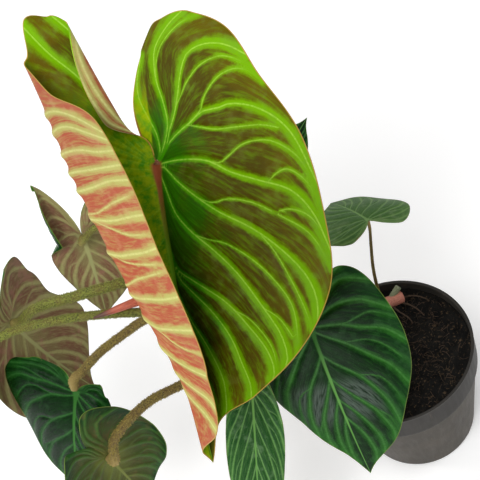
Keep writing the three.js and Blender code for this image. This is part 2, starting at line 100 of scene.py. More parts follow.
class Nodes:
    # Short ways to lay the nodes of a material or of a group
    def __init__(self, tree):
        self.tree = tree

    def node(self, kind, inputs=(), **settings):
        node = self.tree.nodes.new(kind)
        for key, value in settings.items():
            setattr(node, key, value)
        for socket, value in dict(inputs).items():
            self.feed(node.inputs[socket], value)
        return node

    def feed(self, socket, value):
        if isinstance(value, bpy.types.NodeSocket):
            self.tree.links.new(value, socket)
        else:
            socket.default_value = value

    def math(self, operation, first, second=0.0):
        return self.node("ShaderNodeMath", {0: first, 1: second}, operation=operation).outputs[0]

    def add(self, first, second):
        return self.math("ADD", first, second)

    def size(self, value):
        return self.math("ABSOLUTE", value)

    def times(self, *factors):
        product = factors[0]
        for factor in factors[1:]:
            product = self.math("MULTIPLY", product, factor)
        return product

    def ramp(self, value, low, high):
        # 0 below low, 1 above high, smooth between them; low may be the greater
        return self.node("ShaderNodeMapRange", {"Value": value, "From Min": low, "From Max": high},
                         interpolation_type="SMOOTHSTEP").outputs["Result"]

    def mix(self, share, first, second):
        return self.node("ShaderNodeMix", {0: share, 6: first, 7: second},
                         data_type="RGBA").outputs[2]

    def attribute(self, name, output="Fac"):
        return self.node("ShaderNodeAttribute", attribute_name=name).outputs[output]

    def parts(self, vector):
        return self.node("ShaderNodeSeparateXYZ", {0: vector}).outputs

    def vector(self, *parts):
        return self.node("ShaderNodeCombineXYZ", dict(enumerate(parts))).outputs[0]

    def noise(self, place, scale, detail=2.0, roughness=0.5):
        return self.node("ShaderNodeTexNoise", {"Vector": place, "Scale": scale, "Detail": detail,
                                                "Roughness": roughness}).outputs["Fac"]

    def stretched(self, place, scale):
        return self.node("ShaderNodeMapping", {"Vector": place, "Scale": scale}).outputs[0]

    def place(self):
        return self.node("ShaderNodeTexCoord").outputs["Object"]


class Paint(Nodes):
    # A material around one Principled shader
    def __init__(self, name, roughness=0.5, **constants):
        self.material = bpy.data.materials.new(name)
        self.material.use_nodes = True
        super().__init__(self.material.node_tree)
        self.shader = self.tree.nodes["Principled BSDF"]
        self.shader.inputs["Roughness"].default_value = roughness
        for key, value in constants.items():
            self.shader.inputs[key.replace("_", " ")].default_value = value

    def bump(self, height, distance, strength=1.0):
        node = self.node("ShaderNodeBump",
                         {"Height": height, "Distance": distance, "Strength": strength})
        self.feed(self.shader.inputs["Normal"], node.outputs[0])

    def colour(self, tone):
        self.feed(self.shader.inputs["Base Color"], tone)


def piece_from(name, bm, paints, slot, nodes, smooth=True):
    # a piece of the plant's one body in the place of the named nodes, or a helper without a slot
    for face in bm.faces:
        face.smooth = smooth
    mesh = bpy.data.meshes.new(name)
    bm.to_mesh(mesh)
    bm.free()
    for paint in paints:
        mesh.materials.append(paint.material)
    piece = bpy.data.objects.new(name, mesh)
    scene.collection.objects.link(piece)
    if slot:
        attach(piece, "root")
    if nodes:
        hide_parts(*nodes)
    return piece


white = Paint("white_paper", 0.9, Base_Color=(0.98, 0.98, 0.98, 1),
              Emission_Color=(1, 1, 1, 1), Emission_Strength=0.14)
sheet = bmesh.new()
bmesh.ops.create_grid(sheet, x_segments=1, y_segments=1, size=6)
piece_from("floor", sheet, [white], None, ())

# The pot is a thin moulded nursery pot of taupe-grey plastic, 12 cm across its rim. Its wall leans
# out from the floor to a step, above which a deeper lip runs up to the rolled rim. The floor has
# a ring of drain holes.
POT_HEIGHT = 103
POT_BASE = 42.5
POT_RIM = 60
LIP_HEIGHT = 24
LIP_STEP = 1.4
POT_WALL = 1.5
POT_STEPS = 128
DRAIN_COUNT = 8
DRAIN_RING = 30
DRAIN_RADIUS = 4
lip_base = POT_HEIGHT - LIP_HEIGHT
lip_inner = POT_RIM - LIP_STEP - 1.2


def wall_radius(height):
    return POT_BASE + (lip_inner - POT_BASE) * height / lip_base


def turned(outline, segments):
    # half section in mm, spun once about the pot's axis
    bm = bmesh.new()
    verts = [bm.verts.new((radius * MM, 0, height * MM)) for radius, height in outline]
    edges = [bm.edges.new(pair) for pair in zip(verts, verts[1:])]
    bmesh.ops.spin(bm, geom=verts + edges, cent=(0, 0, 0), axis=(0, 0, 1), angle=2 * math.pi,
                   steps=segments, use_merge=True)
    bmesh.ops.remove_doubles(bm, verts=bm.verts, dist=1e-6)
    bmesh.ops.recalc_face_normals(bm, faces=bm.faces)
    return bm


lip_radius = wall_radius(lip_base) + LIP_STEP
rim_outside = [(POT_RIM + 0.35 * math.sin(t), POT_HEIGHT - 0.9 + 0.9 * math.sin(t))
               for t in np.linspace(0, math.pi / 2, 5)]
rim_inside = [(POT_RIM - 1.7 + 0.3 * math.cos(t), POT_HEIGHT - 0.6 + 0.5 * math.sin(t))
              for t in np.linspace(math.pi / 2, math.pi, 4)]
pot_outline = [
    (0, 0.05), (14, 0.05), (38, 0.05), (40.6, 0), (41.7, 0.25), (42.35, 0.9),
    (wall_radius(2), 2),
    *[(wall_radius(z), z) for z in np.linspace(6, lip_base - 2.4, 14)],
    (wall_radius(lip_base - 1.4), lip_base - 1.4),
    (wall_radius(lip_base - 0.8) + 0.15, lip_base - 0.8),
    (lip_radius - 0.2, lip_base - 0.15), (lip_radius, lip_base + 0.4),
    *[(lip_radius + (POT_RIM - lip_radius) * t, lip_base + 0.4 + (LIP_HEIGHT - 2) * t)
      for t in np.linspace(0.1, 0.95, 6)],
    *rim_outside, *rim_inside, (lip_radius - POT_WALL, lip_base + 1),
    (wall_radius(lip_base) - POT_WALL, lip_base - 0.6), (POT_BASE - POT_WALL, 3),
    (POT_BASE - 3, POT_WALL), (12, POT_WALL), (0, POT_WALL),
]
pot = turned(pot_outline, POT_STEPS)
drains = bmesh.new()
for k in range(DRAIN_COUNT):
    angle = 2 * math.pi * k / DRAIN_COUNT
    ring = DRAIN_RING * MM
    at = Matrix.Translation((ring * math.cos(angle), ring * math.sin(angle), MM))
    bmesh.ops.create_cone(drains, cap_ends=True, segments=24, radius1=DRAIN_RADIUS * MM,
                          radius2=DRAIN_RADIUS * MM, depth=4 * POT_WALL * MM, matrix=at)
drain_cutter = piece_from("drain_cutter", drains, [white], None, ())

plastic = Paint("pot_plastic", 0.42, Specular_IOR_Level=0.2)
where = plastic.place()
mottle = plastic.noise(where, 38, 3, 0.6)
scuff = plastic.noise(plastic.stretched(where, (260, 260, 30)), 1, 4, 0.7)
height = plastic.parts(where)["Z"]
mottle = plastic.ramp(mottle, 0.3, 0.75)
body_tone = plastic.mix(mottle, linear(58, 53, 46), linear(69, 63, 55))
lip_tone = plastic.mix(mottle, linear(44, 42, 39), linear(53, 50, 46))
lip_from, lip_to = (lip_base - 0.2) * MM, (lip_base + 0.6) * MM
tone = plastic.mix(plastic.ramp(height, lip_from, lip_to), body_tone, lip_tone)
dust = plastic.times(plastic.ramp(scuff, 0.6, 0.8), 0.35)
plastic.colour(plastic.mix(dust, tone, linear(122, 114, 101)))
plastic.feed(plastic.shader.inputs["Roughness"], plastic.add(plastic.times(scuff, 0.3), 0.4))
plastic.bump(plastic.noise(where, 900, 2), 0.0002, 0.35)

pot_piece = piece_from("nursery_pot", pot, [plastic], "pot_plastic", ["pot"])
cut = pot_piece.modifiers.new("drain_holes", "BOOLEAN")
cut.object = drain_cutter
cut.operation = "DIFFERENCE"
cut.solver = "EXACT"
bpy.context.view_layer.update()
drilled = pot_piece.evaluated_get(bpy.context.evaluated_depsgraph_get())
finished = bpy.data.meshes.new_from_object(drilled)
pot_piece.modifiers.clear()
pot_piece.data = finished
bpy.data.objects.remove(drain_cutter)

# The soil is a dark peat mix that fills the pot to a few millimetres below the rim. Its top is
# lumpy and full of crumbs and short brown fibres.
SOIL_LEVEL = 94.5
SOIL_GAP = 1.8
SOIL_STEPS = 180
CRUMB_COUNT = 1500
DENT = 0.25
SOIL_SEED = 11
rng = random.Random(SOIL_SEED)
soil_radius = lip_radius + (POT_RIM - lip_radius) * (SOIL_LEVEL - lip_base) / LIP_HEIGHT - SOIL_GAP


def lump(x, y):
    # rise of the soil in mm at a place in mm
    wave = math.sin(0.31 * x + 1) * math.cos(0.27 * y) + 0.6 * math.sin(0.43 * y - 0.5 * x)
    return 1.1 * wave


rings = np.linspace(0, 1, 46)[1:]
step_radius = wall_radius(lip_base) - SOIL_GAP
soil_outline = [(0, 1.9), (39, 1.9), (40.7, 3.6), (step_radius, lip_base - 0.6),
                (step_radius, lip_base + 1), (soil_radius - 0.3, SOIL_LEVEL - 1.5)]
soil_outline += [(soil_radius * t, SOIL_LEVEL) for t in rings[::-1]] + [(0, SOIL_LEVEL)]
soil = turned(soil_outline, SOIL_STEPS)
for vert in soil.verts:
    if abs(vert.co.z - SOIL_LEVEL * MM) < 1e-6:
        x, y = vert.co.x / MM, vert.co.y / MM
        edge = max(0, 1 - (soil_radius - math.hypot(x, y)) / 5)
        crumb = noise.fractal(Vector((x, y, 3)) * 0.16, 1.0, 2.1, 4)
        grit = noise.fractal(Vector((x, y, 9)) * 0.7, 0.9, 2.0, 3)
        vert.co.z += (lump(x, y) * (1 - edge) + 1.1 * crumb + 0.5 * grit + 0.9 * edge) * MM

peat = Paint("peat", 0.95, Specular_IOR_Level=0.25)
where = peat.place()
speck = peat.noise(where, 420, 4, 0.7)
patch = peat.noise(where, 90, 3, 0.6)
tone = peat.mix(peat.ramp(patch, 0.3, 0.7), linear(4, 4, 3), linear(16, 15, 12))
peat.colour(peat.mix(peat.times(peat.ramp(speck, 0.56, 0.68), 0.7), tone, linear(96, 78, 58)))
peat.bump(peat.noise(where, 600, 4, 0.7), 0.0008, 0.8)
piece_from("soil_body", soil, [peat], "peat", ["soil"])


def soil_height(x, y):
    return SOIL_LEVEL + lump(x, y) + 0.4


def disc_place(reach):
    radius = reach * math.sqrt(rng.random())
    angle = rng.uniform(0, 2 * math.pi)
    return radius * math.cos(angle), radius * math.sin(angle)


crumbs = bmesh.new()
for _ in range(CRUMB_COUNT):
    x, y = disc_place(soil_radius - 1.5)
    size = 0.3 + 0.9 * rng.random() ** 2
    at = Matrix.Translation(Vector((x, y, soil_height(x, y) + rng.uniform(-0.3, 0.5))) * MM)
    spin = rng.uniform(0, 6.3)
    tumble = Matrix.Rotation(spin, 4, (rng.random(), rng.random(), rng.random() + 0.01))
    squash = Matrix.Diagonal((1, rng.uniform(0.5, 0.9), rng.uniform(0.35, 0.7), 1))
    bmesh.ops.create_icosphere(crumbs, subdivisions=1, radius=size * MM,
                               matrix=at @ tumble @ squash)
# this noise starts from a random place unless it has a seed
noise.seed_set(SOIL_SEED)
for vert in crumbs.verts:
    vert.co += Vector(noise.noise_vector(vert.co * 900)) * DENT * MM
piece_from("soil_crumbs", crumbs, [peat], "peat", (), smooth=False)

# The stem is a rooted cutting as thick as a pencil. Its pink cut end and the stub of an old
# petiole lie on the soil, with a few pale roots; the rest leans out over the pot's left side.
STEM_ROUTE = [(25, 43, 97.5), (8, 43, 98.5), (-16, 42, 106), (-42, 40, 128), (-72, 38, 168),
              (-98, 38.5, 198), (-121, 41, 220)]
STEM_RADIUS = 4.6
FIBRE_COUNT = 320


class Route:
    # Smooth route through places in mm, walked by its length
    def __init__(self, places):
        places = np.array(places, float)
        first, last = 2 * places[0] - places[1], 2 * places[-1] - places[-2]
        points = [first, *places, last]
        fine = []
        for start in range(len(places) - 1):
            # four places in a row, blended pair by pair between their knots
            blends = points[start:start + 4]
            knots = [0.0]
            for near, far in zip(blends, blends[1:]):
                knots.append(knots[-1] + max(np.linalg.norm(far - near), 1e-6) ** 0.5)
            final = start == len(places) - 2
            t = np.linspace(knots[1], knots[2], 16, endpoint=final)[:, None]
            for low, high in ((0, 1), (0, 2), (1, 2)):
                spans = zip(knots[low:], knots[high:], blends, blends[1:])
                blends = [(k1 - t) / (k1 - k0) * near + (t - k0) / (k1 - k0) * far
                          for k0, k1, near, far in spans]
            fine.append(blends[0])
        self.fine = np.concatenate(fine)
        steps = np.linalg.norm(np.diff(self.fine, axis=0), axis=1)
        self.length = steps.sum()
        self.share = np.concatenate([[0], np.cumsum(steps)]) / self.length

    def at(self, share):
        return np.stack([np.interp(share, self.share, self.fine[:, k]) for k in range(3)], -1)

    def along(self, share):
        ahead = self.at(np.clip(share + 0.01, 0, 1)) - self.at(np.clip(share - 0.01, 0, 1))
        return ahead / np.linalg.norm(ahead, axis=-1, keepdims=True)

    def frames(self, shares):
        # two directions across the route at each share, carried along it without twist
        forward = self.along(shares)
        side = np.cross(forward[0], (0.3, 0.1, 0.9))
        sides = []
        for ahead in forward:
            side = side - ahead * side.dot(ahead)
            side = side / np.linalg.norm(side)
            sides.append(side)
        sides = np.array(sides)
        return sides, np.cross(forward, sides)


def skin_layers(bm):
    # kept at every corner: the share walked, how near a hair's tip, and the place in the grain
    floats, vectors = bm.verts.layers.float, bm.verts.layers.float_vector
    return (floats.get("run") or floats.new("run"), floats.get("tip") or floats.new("tip"),
            vectors.get("grain") or vectors.new("grain"))


def stalk(bm, route, radius, sides, steps, ripple=None, mark=0.0):
    # a strip of grid rolled round the route and closed at both ends; radius is a function of the
    # share walked, ripple adds to it by share and angle, and mark is kept as the tip value
    run, tip, grain = skin_layers(bm)
    grid = bmesh.ops.create_grid(bm, x_segments=sides, y_segments=steps, size=1)["verts"]
    flat = np.array([vert.co for vert in grid])
    share = (flat[:, 1] + 1) / 2
    angle = (flat[:, 0] + 1) * math.pi
    rows, index = np.unique(np.round(share, 6), return_inverse=True)
    across, over = route.frames(rows)
    wide = np.array([radius(s) for s in share])
    if ripple:
        wide = wide + np.array([ripple(s, t) for s, t in zip(share, angle)])
    out = across[index] * np.cos(angle)[:, None] + over[index] * np.sin(angle)[:, None]
    places = (route.at(rows)[index] + out * wide[:, None]) * MM
    for vert, place, s, t in zip(grid, places, share, angle):
        vert.co = place
        vert[run] = s
        vert[tip] = mark
        vert[grain] = (s * route.length, math.cos(t) * 3, math.sin(t) * 3)
    bmesh.ops.remove_doubles(bm, verts=grid, dist=1e-7)
    rim = [edge for edge in bm.edges if edge.is_boundary]
    bmesh.ops.holes_fill(bm, edges=rim, sides=sides + 2)


stem_route = Route(STEM_ROUTE)
stem_nodes = (0.1, 0.32, 0.4, 0.5, 0.54, 0.61, 0.7, 0.78, 0.87, 0.94)


def stem_radius(share):
    swell = sum(math.exp(-((share - node) / 0.008) ** 2) for node in stem_nodes)
    end = min(1, max(0.0, share) / 0.012 + 0.55)
    return (STEM_RADIUS - 0.4 * share + 0.3 * swell) * end


stem = bmesh.new()
stalk(stem, stem_route, stem_radius, 28, 190,
      lambda s, t: 0.12 * noise.noise(Vector((s * 160, math.cos(t), math.sin(t)))))
stub_route = Route([(14, 44, 98), (19, 45.8, 101.5), (24, 47.5, 105)])
stalk(stem, stub_route, lambda s: 2.6 - 0.2 * s, 18, 16, mark=1.0)

skin = Paint("stem_skin", 0.6)
where = skin.place()
grain = skin.attribute("grain", "Vector")
bark = skin.noise(skin.stretched(grain, (0.5, 2.4, 2.4)), 1.4, 4, 0.7)
old = skin.mix(skin.ramp(bark, 0.35, 0.7), linear(96, 84, 48), linear(140, 128, 74))
rosy = skin.mix(skin.ramp(bark, 0.3, 0.75), linear(176, 104, 86), linear(214, 150, 128))
tone = skin.mix(skin.ramp(skin.parts(where)["X"], -0.012, 0.008), old, rosy)
stub_tone = skin.mix(skin.ramp(bark, 0.3, 0.7), linear(112, 122, 92), linear(150, 156, 124))
skin.colour(skin.mix(skin.attribute("tip"), tone, stub_tone))
skin.bump(bark, 0.0006, 0.6)
piece_from("stem_cutting", stem, [skin], "stem_skin", ["stem"])

ROOTS = [
    [(20, 41, 95), (26, 34, 97.5), (31, 26, 96.5), (34, 20, 90)],
    [(14, 40, 96), (17, 31, 98.5), (22, 22, 97), (23, 16, 90)],
    [(22, 44, 95), (31, 40, 98), (39, 34, 96.5), (43, 31, 90)],
]
roots = bmesh.new()
for places in ROOTS:
    route = Route(places)
    stalk(roots, route, lambda s: 0.75 - 0.4 * s, 8, 36,
          lambda s, t: 0.25 * noise.noise(Vector((s * 30, math.cos(t), math.sin(t)))))
fibre = Paint("root_fibre", 0.85)
grain = fibre.attribute("grain", "Vector")
thread = fibre.noise(grain, 0.8, 3, 0.6)
fibre.colour(fibre.mix(fibre.ramp(thread, 0.3, 0.7), linear(38, 29, 22), linear(86, 66, 48)))
for _ in range(FIBRE_COUNT):
    x, y = disc_place(soil_radius - 6)
    length = rng.uniform(2, 9)
    heading = rng.uniform(0, 2 * math.pi)
    bend = rng.uniform(-1.2, 1.2)
    places = []
    for k in range(4):
        x += length / 3 * math.cos(heading) * (k > 0)
        y += length / 3 * math.sin(heading) * (k > 0)
        heading += bend / 3
        if math.hypot(x, y) > soil_radius - 2:
            break
        places.append((x, y, soil_height(x, y) + rng.uniform(-0.6, 1.0)))
    if len(places) < 3:
        continue
    thick = rng.uniform(0.1, 0.24)
    stalk(roots, Route(places), lambda s: thick * (1.1 - 0.5 * s), 5, 7)
piece_from("roots_and_fibres", roots, [fibre], "stem_skin", ())

# Petioles are the leaf stalks: fleshy, yellow-green to olive, and covered all round with short
# scaly hairs. Each springs from a node of the stem and ends in a swollen joint under its blade.

# For each leaf: where on the stem it springs from (None stands in the soil), the places it passes
# in mm, and its radius at the foot and at the blade.
PETIOLES = {
    "crown": (1, [(-127, 45, 244), (-120, 60, 282), (-106, 66, 304)], (4.2, 3)),
    "back_left": (0.54, [(-92, 66, 196), (-124, 82, 234), (-150, 86, 256)], (3.2, 2.4)),
    "far_left": (0.87, [(-124, 53, 222), (-146, 46, 237), (-173, 46, 243), (-214, 60, 234)],
                 (3.9, 3.3)),
    "outer": (0.78, [(-120, 20, 213), (-144, 26, 225), (-190, 38, 235), (-236, 44, 240),
                     (-270, 38, 234)], (3.4, 2.8)),
    "left": (0.7, [(-101, 13.1, 204), (-118.2, 13.2, 223.1), (-138.3, 13.8, 231.1),
                   (-159.2, 10.9, 229.4), (-181.1, 8.9, 223.3), (-196.2, 9.2, 213.1)], (3.3, 2.9)),
    "left_low": (0.61, [(-95.6, 0.3, 183), (-114.6, -16, 192.1), (-136.5, -24.5, 200.2),
                        (-157.7, -32, 207.9), (-176.1, -40.2, 208), (-190.1, -44, 199.5)],
                 (3, 3.2)),
    "low": (0.5, [(-66, 20, 168), (-81, 5, 184), (-91, -12, 179)], (2.4, 2)),
    "front": (0.32, [(-24, 26, 146), (-26, 10, 176), (-36, -4, 192)], (2.7, 2.3)),
    "back": (0.4, [(-46, 60, 156), (-40, 86, 176), (-33, 104, 186)], (2, 1.7)),
    "small": (None, [(8, 49, 85), (9, 51, 104), (12, 53, 130), (17, 55, 154)], (1.6, 1.2)),
}
# Where a petiole meets its blade: mm along the midrib and off the face, before and at the end.
NECKS = {"crown": ((-4, -5), (1.2, -0.8)), "left": ((-11, 4.7), (-3, 2.3)),
         "left_low": ((1.6, -7), (1.6, -1.15)), "back_left": ((1.2, -7), (1.2, -1))}

# What a blade has unless its own entry says otherwise, as in the solids: lengths in mm, angles in
# degrees. Each half has its own width and rear lobe, and may roll over or curl at the sinus.
HALF = dict(width=50, reach=0.2, lobe=40, corner=0.45, shoulder=0.62, fullness=0.4, blunt=0.12,
            bulge=0.14, sinus=0.3, tilt=4, turn=-25, roll=None, curl=None, edge=None)
LEAF = dict(length=90, drip=0.08, fan=0.3, widest=0.48, spine=25, back=15, scythe=0,
            pleat=0.7, wave=1.5, waves=2.6, half={}, left={}, right={})
LEAVES = {
    "crown": dict(
        at=(-87, 50.3, 322.2), pose=(-107.8, 31.8, 14.9), length=193.1, drip=0.12, spine=20,
        back=8, scythe=0.053, pleat=1.3, wave=1,
        left=dict(width=110.3, lobe=100.9, reach=0.391, corner=0.061, fullness=0.476, blunt=0.114,
            bulge=0.15, sinus=0.349, tilt=6.3, turn=-14.7, edge=((0, 0), (0.06, -3.8),
            (0.14, -0.7), (0.22, 2.7), (0.3, -1.4), (0.38, 2.5), (0.48, -1), (0.6, 0.5),
            (0.75, 1.4), (0.86, 0.4), (0.94, -7.5), (1, 0))),
        right=dict(width=108.9, lobe=111.1, reach=0.046, corner=0.418, fullness=0.311, blunt=0.1,
            bulge=0.15, sinus=0.196, shoulder=0.56,
            curl=dict(angle=24.1, offset=-6.9, length=8, turn=176.2), roll=dict(start=48.8,
            vanish=0.72, rear=0.655, flare=0.395, open=0.363, radius=5, tilt=(22, 42),
            turn=156.3), edge=((0, 0), (0.06, -4.7), (0.12, 0.7), (0.18, 11.3), (0.24, -5.9),
            (0.32, -10.2), (0.42, 11), (0.6, -7.7), (0.8, -4.6), (0.92, 13.5), (1, 0)))),
    "back_left": dict(
        at=(-166.9, 100.4, 240.3), pose=(-140.6, 77.5, 143.3), length=72.1, spine=20.2, back=-2.9,
        pleat=0.6,
        half=dict(fullness=0.45, blunt=0.1, sinus=0.2),
        left=dict(width=27.2, lobe=55, reach=0.109, corner=0.786, shoulder=0.628,
            roll=dict(start=12.9, vanish=-0.22, rear=0.281, radius=4.5, tilt=(5, 0), turn=153,
            down=True)),
        right=dict(width=35.1, lobe=38.5, reach=0.16, corner=0.43, turn=-24.9)),
    "far_left": dict(
        at=(-241.1, 77.4, 212.8), pose=(-44.9, 85.1, -189.2), length=94.5, spine=29.2, back=35.4,
        half=dict(fullness=0.45, blunt=0.1),
        left=dict(lobe=56, reach=0.432, corner=0.16, shoulder=0.25, turn=-8, edge=((0, 0),
            (0.45, 1.4), (0.65, 3.4), (1, 0))),
        right=dict(width=50.4, lobe=43.5, reach=0.314, corner=0.358, shoulder=0.338, turn=-9.1,
            edge=((0, 0), (0.08, -3), (0.18, 4.3), (0.3, -2.6), (0.45, -9.3), (0.65, 4.7),
            (1, 0)))),
    "outer": dict(
        at=(-292, 24, 237), pose=(-144.2, 12.7, -45.2), length=73.7,
        half=dict(width=40, reach=0.16, lobe=34, corner=0.4, tilt=6, turn=-20)),
    "left": dict(
        at=(-208.6, 6.6, 198.5), pose=(-143.3, 47.8, -9.7), length=94.6, spine=29, back=75.2,
        pleat=0.9,
        left=dict(width=28.7, lobe=13, reach=0.258, corner=0.479, shoulder=0.523, tilt=6,
            turn=-34, roll=dict(start=12.6, vanish=4, rear=0.3, radius=11.2, tilt=(8, 4),
            turn=140, down=True)),
        right=dict(width=59.4, lobe=11.5, reach=0.119, corner=0.597, shoulder=0.687, tilt=6,
            turn=-15.2, edge=((0, 0), (0.08, -2.3), (0.18, -0.2), (0.3, 6.1), (0.45, 5),
            (0.65, -5.8), (1, 0)))),
    "left_low": dict(
        at=(-202.4, -39.9, 181.5), pose=(139, 91.2, 19), length=67.5, spine=6.2, back=0.5,
        pleat=0.8,
        half=dict(tilt=0, turn=-30),
        left=dict(width=40, reach=0.16, lobe=36),
        right=dict(width=41.4, lobe=49.4, reach=0.213, corner=0, shoulder=0.564,
            roll=dict(start=24.5, vanish=3, rear=0, radius=11, tilt=(5, 5), turn=150, down=True))),
    "low": dict(
        at=(-95.4, -31.8, 176), pose=(-118, 42, -25), length=118.6, spine=17.6, back=18,
        half=dict(corner=0.3, blunt=0.05, tilt=8),
        left=dict(width=20.4, lobe=9, reach=0.402, fullness=0.6, shoulder=0.555, turn=-19.3),
        right=dict(width=19.8, lobe=20.7, reach=0.383, fullness=0.62, shoulder=0.626, turn=-16.4)),
    "front": dict(
        at=(-42.8, -16.6, 192.1), pose=(-98.6, 56, 7.4), length=129.4, drip=0.092, spine=18.2,
        back=11.2, pleat=1,
        half=dict(sinus=0.36),
        left=dict(width=58.3, lobe=36.3, reach=0.201, corner=0.392, shoulder=0.657,
            fullness=0.485, blunt=0.054, turn=-18.6, edge=((0, 0), (0.2, 2.6), (0.4, 0.3),
            (0.55, 0.6), (0.7, -2.4), (0.85, 0.9), (1, 0))),
        right=dict(width=44.2, lobe=46, reach=0.25, corner=0.3, fullness=0.379, blunt=0.098,
            turn=-17.4, edge=((0, 0), (0.4, 0.5), (0.55, 1.5), (0.7, -2.6), (0.85, -3.6), (1, 0)))),
    "back": dict(
        at=(-32.6, 110.1, 201.5), pose=(42, -3.4, 36), length=66.2, drip=0.12, spine=15,
        pleat=0.4, wave=0.8,
        half=dict(width=20, reach=0.16, lobe=16, corner=0.4, tilt=8, turn=-20)),
    "small": dict(
        at=(22.4, 59.1, 177.3), pose=(109.2, 13.8, 14.4), length=57.5, spine=19.9, back=32.4,
        pleat=0.5, wave=0.8,
        left=dict(width=36, lobe=12.4, reach=0.107, corner=0.477, sinus=0.2, turn=-26.1),
        right=dict(width=36.3, lobe=16, reach=0.114, corner=0.428, sinus=0.15, turn=-26.1))}


def leaf_axes(pose):
    heading, dip, roll = (math.radians(angle) for angle in pose)
    turn = (Matrix.Rotation(heading - math.pi / 2, 3, "Z") @ Matrix.Rotation(-dip, 3, "X")
            @ Matrix.Rotation(roll, 3, "Y"))
    return [np.array(turn.col[k]) for k in range(3)]


def petiole_route(name):
    node, via, radii = PETIOLES[name]
    leaf = LEAVES[name]
    across, along, normal = leaf_axes(leaf["pose"])
    ends = NECKS.get(name) or [(radii[1] / 2, -7), (radii[1] / 2, -0.8)]
    last = [np.array(leaf["at"]) + along * run + normal * off for run, off in ends]
    first = []
    if node is not None:
        axis = stem_route.at(node)
        ahead = stem_route.along(node)
        out = np.array(via[0]) - axis
        out = ahead if node == 1 else out - ahead * out.dot(ahead)
        out = out / np.linalg.norm(out)
        reach = 0 if node == 1 else STEM_RADIUS - 1
        first = [axis + out * reach, axis + out * (reach + 6)]
    return Route([*first, *via, *last])


def hair_coat(bm, route, radius, count, length, seed):
    # short scaly hairs that stand off the skin and lean towards the blade: one cone, doubled over
    # and over, then each copy is set in its place
    draw = np.random.default_rng(seed)
    cone = bmesh.new()
    bmesh.ops.create_cone(cone, cap_ends=True, segments=3, radius1=1, radius2=0, depth=1)
    corners = len(cone.verts)
    store = bpy.data.meshes.new("hairs")
    cone.to_mesh(store)
    cone.free()
    coat = bmesh.new()
    run, tip, grain = skin_layers(coat)
    coat.from_mesh(store)
    while len(coat.verts) * 2 <= count * corners:
        bmesh.ops.duplicate(coat, geom=coat.verts[:] + coat.edges[:] + coat.faces[:])
    made = len(coat.verts) // corners
    shares = np.sort(draw.uniform(0.01, 0.985, made))
    angles = draw.uniform(0, 2 * math.pi, made)
    across, over = route.frames(shares)
    ahead = route.along(shares)
    out = across * np.cos(angles)[:, None] + over * np.sin(angles)[:, None]
    aside = np.cross(out, ahead) * draw.uniform(-0.4, 0.4, (made, 1))
    lean = out + ahead * draw.uniform(0.1, 0.8, (made, 1)) + aside
    lean = lean / np.linalg.norm(lean, axis=1, keepdims=True)
    flat = np.cross(lean, ahead)
    flat = flat / np.linalg.norm(flat, axis=1, keepdims=True)
    deep = np.cross(lean, flat)
    tall = length * draw.uniform(0.45, 1.25, (made, 1))
    thick = draw.uniform(0.2, 0.42, (made, 1))
    skin = np.array([radius(share) for share in shares])[:, None]
    foot = route.at(shares) + out * (skin - 0.25)
    tint = draw.uniform(0, 1, made) ** 0.7
    for index, vert in enumerate(coat.verts):
        hair = index // corners
        x, y, z = vert.co
        place = foot[hair] + (flat[hair] * x + deep[hair] * y) * thick[hair]
        vert.co = (place + lean[hair] * (z + 0.5) * tall[hair]) * MM
        vert[run] = shares[hair]
        vert[tip] = tint[hair]
        t = angles[hair]
        vert[grain] = (shares[hair] * route.length, 3 * math.cos(t), 3 * math.sin(t))
    bmesh.ops.recalc_face_normals(coat, faces=coat.faces)
    coat.to_mesh(store)
    coat.free()
    bm.from_mesh(store)
    bpy.data.meshes.remove(store)


class Group(Nodes):
    # A node group with named inputs and outputs, for an effect that several materials share
    def __init__(self, name, colours, values, outputs):
        super().__init__(bpy.data.node_groups.new(name, "ShaderNodeTree"))
        for way, titles in (("INPUT", [*colours, *values]), ("OUTPUT", outputs)):
            for title in titles:
                kind = "Color" if title in colours or title == "Color" else "Float"
                self.tree.interface.new_socket(name=title, in_out=way,
                                               socket_type="NodeSocket" + kind)
        self.given = self.tree.nodes.new("NodeGroupInput").outputs
        self.result = self.tree.nodes.new("NodeGroupOutput").inputs


hairy = Group("hairy_skin", ("Low", "High", "Hair", "Blush", "Joint"), ("Blush Share",),
              ("Color", "Height"))
run, tip = hairy.attribute("run"), hairy.attribute("tip")
grain = hairy.attribute("grain", "Vector")
cloud = hairy.noise(grain, 0.1, 2)
fleck = hairy.noise(grain, 0.8, 3, 0.7)
given = hairy.given
tone = hairy.mix(hairy.ramp(fleck, 0.35, 0.65), given["Low"], given["High"])
blush = hairy.times(hairy.ramp(cloud, 0.4, 0.62), given["Blush Share"])
tone = hairy.mix(blush, tone, given["Blush"])
tone = hairy.mix(hairy.ramp(run, 0.88, 0.985), tone, given["Joint"])
scale_tone = hairy.mix(hairy.ramp(fleck, 0.35, 0.65), given["Hair"], given["High"])
hairy.feed(hairy.result["Color"], hairy.mix(hairy.times(tip, 0.85), tone, scale_tone))
hairy.feed(hairy.result["Height"], hairy.noise(grain, 2.0, 3, 0.7))


def petiole_paint(name, blush_share, **tones):
    paint = Paint(name, 0.68)
    inputs = {title.capitalize(): linear(*tone) for title, tone in tones.items()}
    inputs["Blush Share"] = blush_share
    coat = paint.node("ShaderNodeGroup", inputs, node_tree=hairy.tree).outputs
    paint.colour(coat["Color"])
    paint.bump(coat["Height"], 0.0008, 0.8)
    return paint


